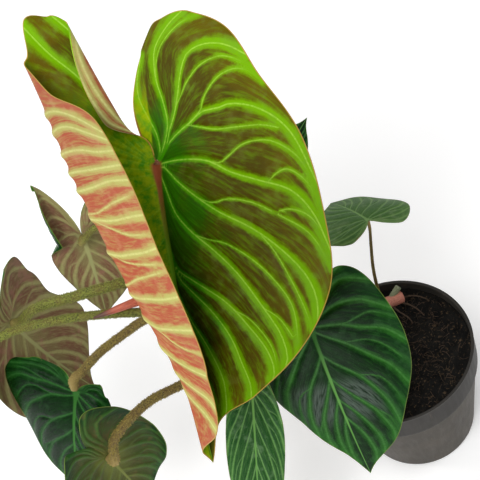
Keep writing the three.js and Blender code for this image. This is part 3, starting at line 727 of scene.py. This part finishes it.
GREEN_PETIOLE = petiole_paint(
    "green_petiole", 0.4, low=(66, 70, 16), high=(130, 138, 48), hair=(178, 182, 94),
    blush=(112, 92, 40), joint=(160, 146, 84))
TAN_PETIOLE = petiole_paint(
    "tan_petiole", 0.4, low=(66, 52, 14), high=(132, 116, 46), hair=(186, 168, 88),
    blush=(88, 62, 24), joint=(156, 134, 76))
YOUNG_PETIOLE = petiole_paint(
    "young_petiole", 0.3, low=(150, 156, 86), high=(190, 188, 126), hair=(220, 214, 164),
    blush=(172, 140, 96), joint=(124, 74, 46))
# each leaf's paint, its number of hairs and their length in mm
PETIOLE_LOOK = {"crown": (YOUNG_PETIOLE, 2048, 1.4), "back_left": (GREEN_PETIOLE, 1024, 1.2),
                "far_left": (GREEN_PETIOLE, 4096, 1.4), "outer": (GREEN_PETIOLE, 4096, 1.3),
                "left": (TAN_PETIOLE, 4096, 1.2), "left_low": (TAN_PETIOLE, 4096, 1.3),
                "low": (GREEN_PETIOLE, 1024, 0.9), "front": (GREEN_PETIOLE, 1024, 0.9),
                "back": (GREEN_PETIOLE, 512, 0.7), "small": (TAN_PETIOLE, 512, 0.35)}

for order, name in enumerate(PETIOLES):
    paint, hairs, hair_length = PETIOLE_LOOK[name]
    foot, end = PETIOLES[name][2]
    route = petiole_route(name)

    def radius(share, foot=foot, end=end):
        clasp = 0.25 * foot * math.exp(-share / 0.04)
        joint = 0.12 * end * math.exp(-((share - 0.95) / 0.035) ** 2)
        return foot + (end - foot) * share + clasp + joint - 0.15

    stalks = bmesh.new()
    stalk(stalks, route, radius, 20, 90,
          lambda s, t: 0.16 * noise.noise(Vector((s * 70, 2 * math.cos(t), 2 * math.sin(t) + 5))))
    hair_coat(stalks, route, radius, hairs, hair_length, 40 + order)
    piece_from("petiole_of_" + name, stalks, [paint], "hairy_petiole", ["petiole_" + name])

# The sheath wrapped the youngest leaf before it opened. It is a thin salmon-red scale, folded
# along its back and drawn out to a torn brown point, and it lies over the petiole beside it.
SHEATH = [(-120, 39, 218), (-132.6, 32, 227.7), (-147.8, 28.9, 233.9), (-161.8, 27.8, 236.4),
          (-173.8, 27.3, 237.9)]
sheath_route = Route(SHEATH)


def fold(share, angle):
    # a keel along the back and a hollow in front, both dying away towards the point
    keel = 1.2 * max(math.cos(angle), 0) ** 6 - 1.3 * max(-math.cos(angle), 0)
    crease = noise.noise(Vector((share * 9, 2 * math.cos(angle), 2 * math.sin(angle))))
    return (keel + 0.5 * crease) * (1 - share)


sheath = bmesh.new()
stalk(sheath, sheath_route, lambda s: 4.4 * (1 - s) ** 0.6 + 0.4, 28, 70, fold)
salmon = Paint("red_sheath", 0.42)
grain = salmon.attribute("grain", "Vector")
run = salmon.attribute("run")
streak = salmon.noise(salmon.stretched(grain, (0.12, 1.6, 1.6)), 1.5, 3, 0.6)
tone = salmon.mix(salmon.ramp(streak, 0.3, 0.7), linear(150, 62, 42), linear(200, 108, 80))
torn = salmon.add(run, salmon.times(streak, 0.2))
salmon.colour(salmon.mix(salmon.ramp(torn, 0.82, 1.0), tone, linear(84, 50, 34)))
salmon.bump(streak, 0.0004, 0.6)
piece_from("leaf_sheath", sheath, [salmon], "red_sheath", ["sheath"])

# Blades are thin hearts with a sunken midrib and side veins that arch from it to the margin and
# fork on the way. The upper face is velvety and the lower one reddish, with the veins raised.
# Each blade is a strip of grid laid out in its flat shape, then arched, rolled and turned.


def smooth(value, low, high):
    t = np.clip((value - low) / (high - low), 0, 1)
    return t * t * (3 - 2 * t)


def bezier(points, t):
    p = np.array(points, float)
    t = t[:, None]
    return ((1 - t) ** 3 * p[0] + 3 * t * (1 - t) ** 2 * p[1] + 3 * t * t * (1 - t) * p[2]
            + t ** 3 * p[3])


def arc(distance, span, turn, tilt=0.0):
    # place on a circle arc that turns evenly by turn degrees over span, straight on after it
    start = np.radians(tilt)
    bend = np.radians(turn) / span
    bend = np.where(np.abs(bend) < 1e-7, 1e-7, bend)
    bent = np.minimum(distance, span)
    end = start + bend * bent
    straight = distance - bent
    along = (np.sin(end) - np.sin(start)) / bend + straight * np.cos(end)
    rise = (np.cos(start) - np.cos(end)) / bend + straight * np.sin(end)
    return along, rise, end


def flat_place(leaf, half, a, b):
    # a runs from the sinus edge round the lobe to the tip, b from the midrib out to the margin
    width, lobe = half["width"], half["lobe"]
    body = leaf["length"] * (1 - leaf["drip"])
    rear = (half["corner"] * width, -0.86 * lobe)
    wide = (width, half["reach"] * body)
    rear_arc = [rear, (rear[0] + 0.22 * (width - rear[0]), -1.22 * lobe),
                (width, wide[1] - half["shoulder"] * (wide[1] + lobe)), wide]
    front_arc = [wide, (width, wide[1] + 0.5 * (body - wide[1])),
                 (half["fullness"] * width, body * (1 - half["blunt"])), (0, body)]
    edge = np.where((a < leaf["widest"])[:, None],
                    bezier(rear_arc, np.clip(a / leaf["widest"], 0, 1)),
                    bezier(front_arc, np.clip((a - leaf["widest"]) / (1 - leaf["widest"]), 0, 1)))
    root = body * np.clip((a - leaf["fan"]) / (1 - leaf["fan"]), 0, 1) ** 1.25
    bulge = half["bulge"] + (half["sinus"] - half["bulge"]) * np.exp(-a / 0.06)
    dx, dy = edge[:, 0], edge[:, 1] - root
    if half["edge"]:
        # small waves of the margin, pushed outward from the root
        at, out = np.array(half["edge"]).T
        k = np.clip(np.searchsorted(at, a) - 1, 0, len(at) - 2)
        t = np.clip((a - at[k]) / (at[k + 1] - at[k]), 0, 1)
        push = out[k] + (out[k + 1] - out[k]) * t * t * (3 - 2 * t)
        grow = 1 + push / np.maximum(np.hypot(dx, dy), 1)
        dx, dy = dx * grow, dy * grow
    knee = (0.5 * dx + bulge * dy, root + 0.5 * dy - bulge * dx)
    x = 2 * b * (1 - b) * knee[0] + b * b * dx
    y = (1 - b) ** 2 * root + 2 * b * (1 - b) * knee[1] + b * b * (dy + root)
    point = np.exp(-np.abs(x) / (0.12 * width)) * smooth(y / body, 0.72, 1)
    return x, y + leaf["length"] * leaf["drip"] * point


def curled(curl, lobe, x, y, z):
    # the free edge of the sinus curls up over the upper face
    c, s = math.cos(math.radians(curl["angle"])), math.sin(math.radians(curl["angle"]))
    along = x * s - y * c
    out = -x * c - y * s
    past = np.maximum(out - curl["offset"], 0) * smooth(along, 0, 0.35 * lobe)
    run, rise, end = arc(past, curl["length"], curl["turn"])
    place = out - past + run
    return along * s - place * c, -along * c - place * s, z * np.cos(end) + rise


def section(leaf, half, x, y):
    # across the midrib a blade is an even arch, or a flat strip that rolls over into a flap
    out = np.maximum(x, 0)
    length = leaf["length"]
    if not half["roll"]:
        span = half["width"] * (1 - np.where(y > 0, 0.3 * np.clip(y / length, 0, 1), 0))
        return arc(out, span, half["turn"], half["tilt"])
    roll = half["roll"]
    rear = np.clip(-y / half["lobe"], 0, 1.2)
    left = 1 - y / (roll["vanish"] * length)
    flare = roll.get("flare", 0) * np.maximum(rear - roll.get("open", 0), 0) ** 2
    share = np.where(y > 0, (left + np.sqrt(left * left + 0.01)) / (1 + math.sqrt(1.01)),
                     1 + roll["rear"] * rear + flare)
    strip = np.minimum(out, roll["start"] * share)
    slope = roll["tilt"][0] + (roll["tilt"][1] - roll["tilt"][0]) * np.clip(y / length, 0, 1)
    span = roll["radius"] * np.radians(roll["turn"] - slope)
    run, rise, end = arc(out - strip, span, roll["turn"] - slope, slope)
    flip = -1 if roll.get("down") else 1
    slope = np.radians(slope)
    return strip * np.cos(slope) + run, flip * (strip * np.sin(slope) + rise), flip * end


def blade_place(leaf, half, side, a, b, relief):
    x, y = flat_place(leaf, half, a, b)
    fade = smooth(1 - a, 0, 0.3)
    phase = 0 if side > 0 else 1.7
    z = relief + leaf["wave"] * b ** 3 * np.sin(2 * np.pi * leaf["waves"] * a + phase) * fade
    if half["curl"]:
        x, y, z = curled(half["curl"], half["lobe"], x, y, z)
    run, rise, slope = section(leaf, half, x, y)
    length = leaf["length"]
    bow = leaf["scythe"] * length * np.clip(y / length, 0, 1) ** 2
    u = side * (run + np.minimum(x, 0) - z * np.sin(slope)) + bow
    w = rise + z * np.cos(slope)
    ahead = y >= 0
    span = np.where(ahead, length, half["lobe"])
    far, drop, bend = arc(np.abs(y), span, np.where(ahead, leaf["spine"], leaf["back"]))
    v = np.where(ahead, far + w * np.sin(bend), -far - w * np.sin(bend))
    across, along, normal = leaf_axes(leaf["pose"])
    h = w * np.cos(bend) - drop
    return np.array(leaf["at"]) + u[:, None] * across + v[:, None] * along + h[:, None] * normal


# Veins are drawn on the flat blade as pairs b, a in thousandths: the long side veins in their
# order from the sinus to the tip, then the forks that leave them. Most leaves share one set.
def vein_table(*rows):
    return [np.array(row).reshape(-1, 2) / 1000 for row in rows]


SIDE_VEINS = vein_table(
    (0, 260, 130, 200, 400, 63, 630, 29, 1000, 12),
    (0, 280, 220, 237, 430, 121, 650, 75, 820, 83, 1000, 100),
    (0, 300, 280, 246, 450, 183, 620, 171, 770, 179, 1000, 260),
    (0, 305, 220, 287, 450, 296, 720, 325, 1000, 385),
    (0, 310, 100, 346, 370, 396, 550, 430, 800, 455, 1000, 500),
    (0, 345, 150, 420, 330, 479, 530, 533, 750, 575, 1000, 630),
    (0, 485, 100, 535, 400, 617, 750, 700, 1000, 765),
    (0, 600, 120, 655, 300, 700, 530, 738, 880, 800, 1000, 830),
    (0, 700, 280, 775, 620, 840, 830, 875, 1000, 900),
    (0, 780, 300, 855, 700, 915, 1000, 950))
FORKS = vein_table(
    (340, 390, 450, 396, 600, 388, 750, 383, 1000, 420),
    (300, 470, 420, 475, 550, 480, 700, 500, 1000, 570),
    (360, 607, 470, 606, 620, 615, 820, 655, 1000, 700),
    (500, 733, 650, 743, 800, 755, 1000, 795))
CROWN_BROAD_VEINS = vein_table(
    (0, 300, 60, 270, 180, 150, 310, 70, 470, 24, 610, 10, 800, 4),
    (0, 305, 110, 262, 260, 222, 380, 168, 550, 103, 690, 77, 780, 67, 870, 80, 940, 100, 1000,
     120),
    (0, 308, 140, 285, 230, 247, 330, 236, 470, 212, 620, 189, 730, 183, 800, 197, 860, 217, 920,
     239, 1000, 270),
    (0, 310, 80, 305, 170, 286, 280, 295, 380, 302, 510, 302, 610, 315, 700, 319, 840, 340, 940,
     373, 1000, 430),
    (0, 315, 50, 328, 170, 359, 270, 378, 370, 395, 490, 422, 660, 436, 830, 443, 930, 461, 1000,
     510),
    (0, 320, 50, 339, 130, 409, 210, 448, 340, 485, 550, 519, 740, 555, 870, 587, 950, 622, 1000,
     660),
    (0, 330, 25, 370, 45, 419, 80, 488, 160, 538, 300, 585, 450, 629, 660, 687, 830, 721, 960,
     755, 1000, 775),
    (0, 560, 10, 595, 30, 630, 120, 655, 220, 674, 380, 698, 580, 734, 790, 764, 940, 791, 1000,
     810),
    (0, 580, 10, 617, 50, 660, 110, 682, 290, 730, 470, 774, 640, 814, 870, 848, 1000, 870),
    (0, 680, 80, 750, 250, 810, 500, 865, 800, 905, 1000, 920),
    (0, 770, 100, 840, 300, 890, 600, 930, 1000, 955))
CROWN_BROAD_FORKS = vein_table(
    (550, 103, 660, 90, 780, 94, 900, 125, 1000, 160),
    (400, 302, 510, 296, 580, 282, 680, 272, 780, 270, 880, 276, 950, 289, 1000, 310),
    (360, 302, 440, 330, 510, 347, 650, 358, 800, 364, 880, 370),
    (400, 224, 470, 226, 560, 223, 700, 227, 830, 243, 900, 259, 1000, 290),
    (360, 393, 440, 404, 530, 395, 620, 385, 720, 383, 810, 386, 930, 405, 1000, 450),
    (700, 437, 780, 424, 840, 419, 940, 431, 1000, 470),
    (260, 463, 340, 470, 420, 464, 570, 466, 730, 476, 890, 491, 1000, 545),
    (700, 474, 800, 465, 900, 466, 1000, 490),
    (200, 550, 280, 559, 360, 562, 530, 587, 700, 622, 830, 657, 950, 714, 1000, 740),
    (600, 532, 680, 562, 790, 609, 890, 645, 1000, 680),
    (460, 712, 550, 716, 650, 727, 820, 754, 1000, 795),
    (660, 686, 760, 690, 820, 698, 900, 711))
CROWN_FLAP_VEINS = vein_table(
    (0, 300, 60, 260, 200, 140, 400, 60, 700, 20, 1000, 10),
    (0, 303, 200, 220, 450, 130, 700, 100, 1000, 110),
    (0, 306, 210, 304, 380, 272, 520, 232, 670, 217, 840, 212, 1000, 195),
    (0, 310, 250, 325, 500, 320, 840, 345, 900, 385, 1000, 435),
    (0, 315, 350, 352, 720, 379, 800, 396, 870, 420, 1000, 445),
    (0, 320, 300, 380, 580, 416, 740, 435, 870, 452, 1000, 459),
    (0, 335, 300, 410, 570, 452, 740, 468, 880, 475, 1000, 478),
    (0, 350, 250, 435, 500, 479, 680, 490, 840, 492, 1000, 496),
    (0, 380, 220, 478, 470, 526, 690, 542, 870, 541, 1000, 538),
    (0, 460, 280, 565, 570, 598, 690, 597, 860, 592, 1000, 582),
    (0, 540, 200, 630, 440, 677, 630, 677, 810, 670, 1000, 654),
    (0, 600, 250, 700, 500, 737, 690, 732, 1000, 710),
    (0, 660, 220, 760, 500, 805, 740, 811, 1000, 804),
    (0, 730, 180, 820, 370, 853, 580, 861, 870, 860, 1000, 867),
    (0, 780, 100, 850, 270, 880, 440, 893, 720, 900, 1000, 910))
CROWN_FLAP_FORKS = vein_table(
    (400, 508, 480, 518, 570, 523, 770, 519, 1000, 512),
    (500, 530, 600, 548, 790, 566, 1000, 562),
    (320, 655, 450, 652, 600, 642, 790, 631, 1000, 615),
    (500, 595, 600, 610, 780, 613, 1000, 605),
    (500, 737, 620, 760, 800, 765, 1000, 755))
VEINS = {("crown", 1): (CROWN_FLAP_VEINS, CROWN_FLAP_FORKS),
         ("crown", -1): (CROWN_BROAD_VEINS, CROWN_BROAD_FORKS)}
VEIN_STEPS = 26
SMALL_STEP = 0.004
BLADE_THICKNESS = 0.5


def vein_marks(leaf, half, curves, broad, x, y):
    # signed distance in mm to the nearest vein, how much nearer it is than the next one, and how
    # deep in the pale band of a vein a place is
    far = np.full_like(x, 99.0)
    line, nearest, second, band = far, far, far, np.zeros_like(x)
    for curve in curves:
        b, a = curve.T
        px, py = flat_place(leaf, half, a, b)
        walk = Route(np.stack([px, py, 0 * px], -1)).at(np.linspace(0, 1, VEIN_STEPS))
        own, own_line = far, far
        for step in range(VEIN_STEPS - 1):
            (ax, ay, _), (sx, sy, _) = walk[step], walk[step + 1] - walk[step]
            along = np.clip(((x - ax) * sx + (y - ay) * sy) / (sx * sx + sy * sy), 0, 1)
            fx, fy = x - ax - along * sx, y - ay - along * sy
            away = np.hypot(fx, fy)
            width = broad * (0.32 + 0.88 * (step / VEIN_STEPS) ** 0.8)
            band = np.maximum(band, np.exp(-(away / width) ** 2))
            own_line = np.where(away < own, np.sign(sx * fy - sy * fx) * away, own_line)
            own = np.minimum(own, away)
        second = np.where(own < nearest, nearest, np.minimum(second, own))
        line = np.where(own < nearest, own_line, line)
        nearest = np.minimum(nearest, own)
    alone = np.clip(1 - nearest / 3, 0, 1) * smooth(second - nearest, 0.4, 1.8)
    return line, alone, band


def between_veins(curves, a, b):
    # counts up by one from each side vein to the next, so that streaks can follow them
    spots = np.array([np.interp(b, *curve.T) for curve in curves])
    spots = np.vstack([spots[0] - 0.15, spots, np.ones_like(a) * 1.02])
    lower = np.clip((spots <= a).sum(0) - 1, 0, len(spots) - 2)
    mine = np.arange(len(a))
    low, high = spots[lower, mine], spots[lower + 1, mine]
    return lower + np.clip((a - low) / np.maximum(high - low, 1e-4), 0, 1)


def grow_blade(name, columns, rows, broad, top, under, slot):
    # columns to a half and rows from sinus to tip; broad is the width of a vein's pale band in mm
    leaf = {**LEAF, **LEAVES[name]}
    bm = bmesh.new()
    titles = ("sheet", "spot", "veins", "twigs")
    layers = [bm.verts.layers.float_vector.new(title) for title in titles]
    bmesh.ops.create_grid(bm, x_segments=2 * columns, y_segments=rows, size=1)
    flat = np.array([vert.co for vert in bm.verts])
    a_all, b_all = (flat[:, 1] + 1) / 2, np.abs(flat[:, 0])
    places = np.zeros((len(flat), 3))
    marks = np.zeros((4, len(flat), 3))
    for side in (1, -1):
        own = leaf["right"] if side > 0 else leaf["left"]
        half = {**HALF, **leaf["half"], **own}
        mine = flat[:, 0] >= 0 if side > 0 else flat[:, 0] < 0
        a, b = a_all[mine], b_all[mine]
        x, y = flat_place(leaf, half, a, b)
        step_a = flat_place(leaf, half, np.minimum(a + SMALL_STEP, 1), b)
        step_in = flat_place(leaf, half, a, b - SMALL_STEP)
        per_a = np.hypot(step_a[0] - x, step_a[1] - y) / SMALL_STEP
        per_b = np.hypot(step_in[0] - x, step_in[1] - y) / SMALL_STEP
        veins, forks = VEINS.get((name, side), (SIDE_VEINS, FORKS))
        main = vein_marks(leaf, half, veins, broad, x, y)
        fork = vein_marks(leaf, half, forks, 0.65 * broad, x, y)
        groove = (np.exp(-(main[0] / (0.6 * broad)) ** 2)
                  + 0.6 * np.exp(-(fork[0] / (0.4 * broad)) ** 2))
        quilt = leaf["pleat"] * (0.5 - 1.3 * np.minimum(groove, 1)) * np.sqrt(4 * b * (1 - b))
        quilt = quilt - 0.5 * np.exp(-(x / 1.8) ** 2) * smooth(y, -1, 3)
        places[mine] = blade_place(leaf, half, side, a, b, quilt * smooth(1 - a, 0, 0.25))
        rim = np.minimum((1 - b) * per_b, a * per_a + 0.02)
        marks[0, mine] = np.stack([side * x, y, b], -1)
        marks[1, mine] = np.stack([between_veins(veins, a, b), y / leaf["length"], rim], -1)
        for row, (away, alone, strong) in ((2, main), (3, fork)):
            marks[row, mine] = np.stack([np.clip(away, -3, 3), alone, strong], -1)
    for index, vert in enumerate(bm.verts):
        vert.co = places[index] * MM
        for layer, mark in zip(layers, marks):
            vert[layer] = mark[index]
    bmesh.ops.remove_doubles(bm, verts=bm.verts, dist=2e-6)
    piece = piece_from("blade_of_" + name, bm, [top, under], slot, ["blade_" + name])
    wall = piece.modifiers.new("thickness", "SOLIDIFY")
    wall.thickness = BLADE_THICKNESS * MM
    wall.offset = 0
    wall.material_offset = 1
    wall.material_offset_rim = 0


# The pattern of a leaf's face is one group: fields between the veins that darken towards the
# midrib, soft pale bands along the veins with a thin line in each, the midrib and the margin.
face = Group("leaf_face",
             ("Deep", "Deep Tip", "Field", "Outer", "Band", "Band Root", "Vein", "Rib", "Rib Tip",
              "Margin", "Bloom", "Strip", "Silver"),
             ("Streaks", "Vein Width", "Vein Share", "Rib Width", "Rim Width", "Band Low",
              "Band High", "Rim Band", "Bloom Share", "Strip Share", "Silver Share", "Lobe Light",
              "Rough"),
             ("Color", "Roughness", "Height"))
given, result = face.given, face.result
add, times, ramp, mix, size = face.add, face.times, face.ramp, face.mix, face.size
sheet_place = face.attribute("sheet", "Vector")
across, ahead, outward = face.parts(sheet_place)
order, reach, rim = face.parts(face.attribute("spot", "Vector"))
line, near, band = face.parts(face.attribute("veins", "Vector"))
twig, twig_near, twig_band = face.parts(face.attribute("twigs", "Vector"))
cloud = face.noise(sheet_place, 0.04, 3, 0.6)
wisp = face.noise(sheet_place, 0.16, 3, 0.65)
grit = face.noise(sheet_place, 0.55, 4, 0.75)
fleck = face.noise(sheet_place, 1.1, 3, 0.7)
strand = face.vector(times(order, 5.0), times(outward, 3.0))
streak = face.noise(strand, 2.2, 3, 0.65)


def about_half(value, gain):
    return times(face.math("SUBTRACT", value, 0.5), gain)


spread = add(outward, about_half(cloud, 0.9))
deep = mix(ramp(reach, 0.12, 0.5), given["Deep"], given["Deep Tip"])
tone = mix(ramp(spread, 0.1, 0.42), deep, given["Field"])
tone = mix(ramp(spread, 0.55, 0.98), tone, given["Outer"])
band_tone = mix(ramp(spread, 0.05, 0.55), given["Band Root"], given["Band"])
tone = mix(times(ramp(streak, 0.42, 0.72), given["Streaks"]), tone, band_tone)
strength = face.math("MAXIMUM", band, times(twig_band, 0.85))
strength = add(strength, times(ramp(outward, 0.7, 1.0), given["Rim Band"]))
strength = add(strength, add(about_half(wisp, 0.5), about_half(streak, 0.5)))
strength = add(strength, about_half(grit, 0.35))
tone = mix(ramp(strength, given["Band Low"], given["Band High"]), tone, band_tone)
strip = times(ramp(across, 0.0, 1.5), ramp(reach, -0.34, -0.12), given["Strip Share"])
tone = mix(strip, tone, mix(ramp(wisp, 0.35, 0.7), given["Strip"], band_tone))
# painted sheen: pale noisy patches over the fields that stand in for the lamps' reflection on the
# quilted face
bloom = ramp(add(wisp, about_half(cloud, 1.5)), 0.52, 0.8)
tone = mix(times(bloom, given["Bloom Share"]), tone, given["Bloom"])
away = size(across)
# painted highlight: a silvery grey patch on both sides of the midrib at the middle of the blade, in
# place of a lamp's reflection
silver = times(ramp(reach, 0.3, 0.4), ramp(reach, 0.66, 0.52), ramp(away, 1.0, 6.0),
               ramp(away, 38.0, 20.0), ramp(strength, 1.0, 0.35), ramp(streak, 0.3, 0.6))
tone = mix(times(silver, given["Silver Share"]), tone, given["Silver"])
thin = times(given["Vein Width"], 0.2)
core = times(ramp(size(line), given["Vein Width"], thin), ramp(near, 0.3, 0.6))
small = times(ramp(size(twig), times(given["Vein Width"], 0.8), thin), ramp(twig_near, 0.3, 0.6),
              ramp(rim, 3.0, 12.0), 0.7)
off_strip = face.math("SUBTRACT", 1.0, times(strip, 0.8))
core = times(face.math("MAXIMUM", core, small), ramp(grit, 0.2, 0.62), given["Vein Share"],
             off_strip)
tone = mix(core, tone, given["Vein"])
rib_half = times(given["Rib Width"], face.math("SUBTRACT", 1.15, reach))
flare = times(rib_half, add(1.0, ramp(reach, 0.09, 0.0)))
on_rib = times(ramp(size(across), flare, times(flare, 0.35)), ramp(ahead, -2.5, 0.5))
basal = times(ramp(rim, 1.8, 0.6), ramp(reach, 0.02, -0.02), ramp(outward, 0.45, 0.3))
rib_tone = mix(ramp(reach, 0.04, 0.34), given["Rib"], given["Rib Tip"])
tone = mix(face.math("MAXIMUM", on_rib, basal), tone, rib_tone)
tone = mix(ramp(rim, given["Rim Width"], times(given["Rim Width"], 0.4)), tone, given["Margin"])
tone = mix(times(ramp(fleck, 0.64, 0.76), 0.22), tone, band_tone)
# painted light: the whole colour is made brighter towards the rear lobes by Lobe Light, or darker
# where it is below zero
bright = add(1.0, times(ramp(reach, 0.35, -0.3), given["Lobe Light"]))
bright = face.vector(bright, bright, bright)
tone = face.node("ShaderNodeMix", {0: 1.0, 6: tone, 7: bright}, data_type="RGBA",
                 blend_type="MULTIPLY").outputs[2]
face.feed(result["Color"], tone)
face.feed(result["Roughness"], add(times(fleck, 0.25), given["Rough"]))
face.feed(result["Height"], add(face.noise(sheet_place, 1.6, 3, 0.6), times(streak, 1.2)))


def blade_paint(name, gloss=0.2, velvet=0.0, **looks):
    paint = Paint(name, 0.5, Specular_IOR_Level=gloss, Sheen_Weight=velvet, Sheen_Roughness=0.4,
                  Sheen_Tint=linear(150, 180, 150))
    inputs = {}
    for title, value in looks.items():
        value = linear(*value) if isinstance(value, tuple) else value
        inputs[title.replace("_", " ").title()] = value
    pattern = paint.node("ShaderNodeGroup", inputs, node_tree=face.tree).outputs
    paint.colour(pattern["Color"])
    paint.feed(paint.shader.inputs["Roughness"], pattern["Roughness"])
    paint.bump(pattern["Height"], 0.0003, 0.6)
    return paint


# The crown leaf is the newest and by far the largest. It is still lime green with bronze between
# its veins; its left half has rolled over and shows the salmon underside with cream veins.
# painted shade: deep_tip darkens the bronze beside the midrib towards the tip, standing in for the
# shade along the sunken midrib
YOUNG_TOP = blade_paint(
    "young_top", gloss=0.05, deep=(32, 74, 2), deep_tip=(40, 34, 3), field=(58, 50, 2),
    outer=(76, 66, 2), band=(92, 138, 0), band_root=(48, 118, 0), vein=(148, 184, 66),
    rib=(122, 62, 36), rib_tip=(100, 144, 24), margin=(160, 130, 56), bloom=(88, 108, 44),
    strip=(130, 146, 3), streaks=0.35, vein_width=0.75, vein_share=0.55, rib_width=2.5,
    rim_width=0.8, band_low=0.22, band_high=0.95, rim_band=0.14, bloom_share=0.16,
    strip_share=0.92, lobe_light=0.5, rough=0.22)
YOUNG_UNDER = blade_paint(
    "young_under", gloss=0.08, deep=(168, 96, 68), deep_tip=(168, 90, 64), field=(168, 82, 58),
    outer=(170, 88, 64), band=(176, 174, 98), band_root=(178, 160, 96), vein=(200, 200, 126),
    rib=(192, 184, 118), rib_tip=(192, 186, 118), margin=(184, 150, 90), bloom=(192, 140, 104),
    streaks=0.5, vein_width=1.0, vein_share=0.9, rib_width=2.2, rim_width=0.7, band_low=0.34,
    band_high=1.05, rim_band=0.05, bloom_share=0.3, lobe_light=-0.12, rough=0.38)
grow_blade("crown", 65, 290, 4.6, YOUNG_TOP, YOUNG_UNDER, "young_blade")

# Grown leaves are velvety dark green with paler veins, and mauve-brown beneath with green veins.
# They hang on both sides of the stem.
DARK_LOOK = dict(
    gloss=0.1, deep=(3, 34, 4), deep_tip=(3, 34, 4), field=(2, 28, 4), outer=(6, 46, 10),
    band=(42, 102, 30), band_root=(36, 92, 28), vein=(74, 128, 62), rib=(40, 92, 30),
    rib_tip=(84, 136, 62), margin=(98, 122, 50), bloom=(34, 70, 34), streaks=0.25, vein_width=1.1,
    vein_share=0.4, rib_width=1.8, rim_width=0.6, band_low=0.35, band_high=1.4, rim_band=0.06,
    bloom_share=0.4, rough=0.12)
DARK_TOP = blade_paint("dark_top", **DARK_LOOK)
# the front leaf carries the painted highlight beside its midrib
FRONT_TOP = blade_paint("front_top", silver=(86, 96, 90), silver_share=0.6, **DARK_LOOK)
SHADED_TOP = blade_paint("shaded_top", **DARK_LOOK | dict(
    band=(26, 80, 24), band_root=(28, 82, 26), vein=(56, 108, 50), rib=(44, 96, 34),
    rib_tip=(50, 104, 38)))
DARK_UNDER = blade_paint(
    "dark_under", gloss=0.1, deep=(124, 116, 74), deep_tip=(116, 98, 66), field=(112, 80, 60),
    outer=(110, 90, 62), band=(148, 146, 92), band_root=(152, 150, 96), vein=(158, 160, 106),
    rib=(162, 162, 108), rib_tip=(150, 152, 100), margin=(96, 84, 50), bloom=(142, 100, 84),
    streaks=0.45, vein_width=2.0, vein_share=0.35, rib_width=2.4, rim_width=0.6, band_low=0.3,
    band_high=1.3, bloom_share=0.6, rough=0.42)
CURLED_UNDER = blade_paint(
    "curled_under", gloss=0.1, deep=(88, 94, 40), deep_tip=(62, 66, 28), field=(60, 64, 28),
    outer=(8, 40, 12), band=(40, 92, 32), band_root=(96, 106, 46), vein=(96, 116, 54),
    rib=(120, 122, 64), rib_tip=(104, 112, 54), margin=(60, 76, 34), bloom=(94, 76, 44),
    streaks=0.55, vein_width=1.6, vein_share=0.2, rib_width=1.6, rim_width=0.6, band_low=0.4,
    band_high=1.5, bloom_share=0.4, rough=0.35)
for name, columns, rows, broad, top, under in (
        ("back_left", 30, 130, 2.6, DARK_TOP, DARK_UNDER),
        ("far_left", 32, 150, 3.0, DARK_TOP, DARK_UNDER),
        ("outer", 26, 110, 2.4, DARK_TOP, DARK_UNDER),
        ("left", 36, 150, 3.4, SHADED_TOP, DARK_UNDER),
        ("left_low", 34, 140, 2.6, SHADED_TOP, CURLED_UNDER),
        ("front", 44, 190, 4.2, FRONT_TOP, DARK_UNDER),
        ("back", 20, 90, 1.2, DARK_TOP, DARK_UNDER)):
    grow_blade(name, columns, rows, broad, top, under, "mature_blade")

# Two leaves are paler: the narrow low one has a grey-green sheen, mostly painted sheen patches with
# a faint velvet sheen of the shader, and the small one that stands in the soil by itself is a dull
# grey-green.
SHEEN_TOP = blade_paint(
    "sheen_top", gloss=0.16, velvet=0.03, deep=(16, 60, 14), deep_tip=(18, 64, 16),
    field=(16, 62, 16), outer=(22, 72, 22), band=(80, 128, 58), band_root=(84, 132, 62),
    vein=(110, 152, 88), rib=(96, 142, 68), rib_tip=(92, 140, 66), margin=(120, 132, 74),
    bloom=(86, 116, 78), streaks=0.4, vein_width=0.8, vein_share=0.5, rib_width=1.2,
    rim_width=0.6, band_low=0.35, band_high=1.3, bloom_share=0.55, rough=0.18)
grow_blade("low", 28, 140, 1.6, SHEEN_TOP, DARK_UNDER, "mature_blade")
PALE_TOP = blade_paint(
    "pale_top", gloss=0.12, velvet=0.05, deep=(60, 98, 44), deep_tip=(60, 98, 44),
    field=(60, 96, 46), outer=(66, 102, 50), band=(102, 136, 76), band_root=(104, 138, 78),
    vein=(116, 150, 88), rib=(112, 148, 84), rib_tip=(112, 148, 84), margin=(108, 130, 72),
    bloom=(108, 130, 88), streaks=0.3, vein_width=0.8, vein_share=0.5, rib_width=1.2,
    rim_width=0.6, band_low=0.35, band_high=1.3, bloom_share=0.4, rough=0.4)
grow_blade("small", 28, 120, 1.8, PALE_TOP, DARK_UNDER, "mature_blade")
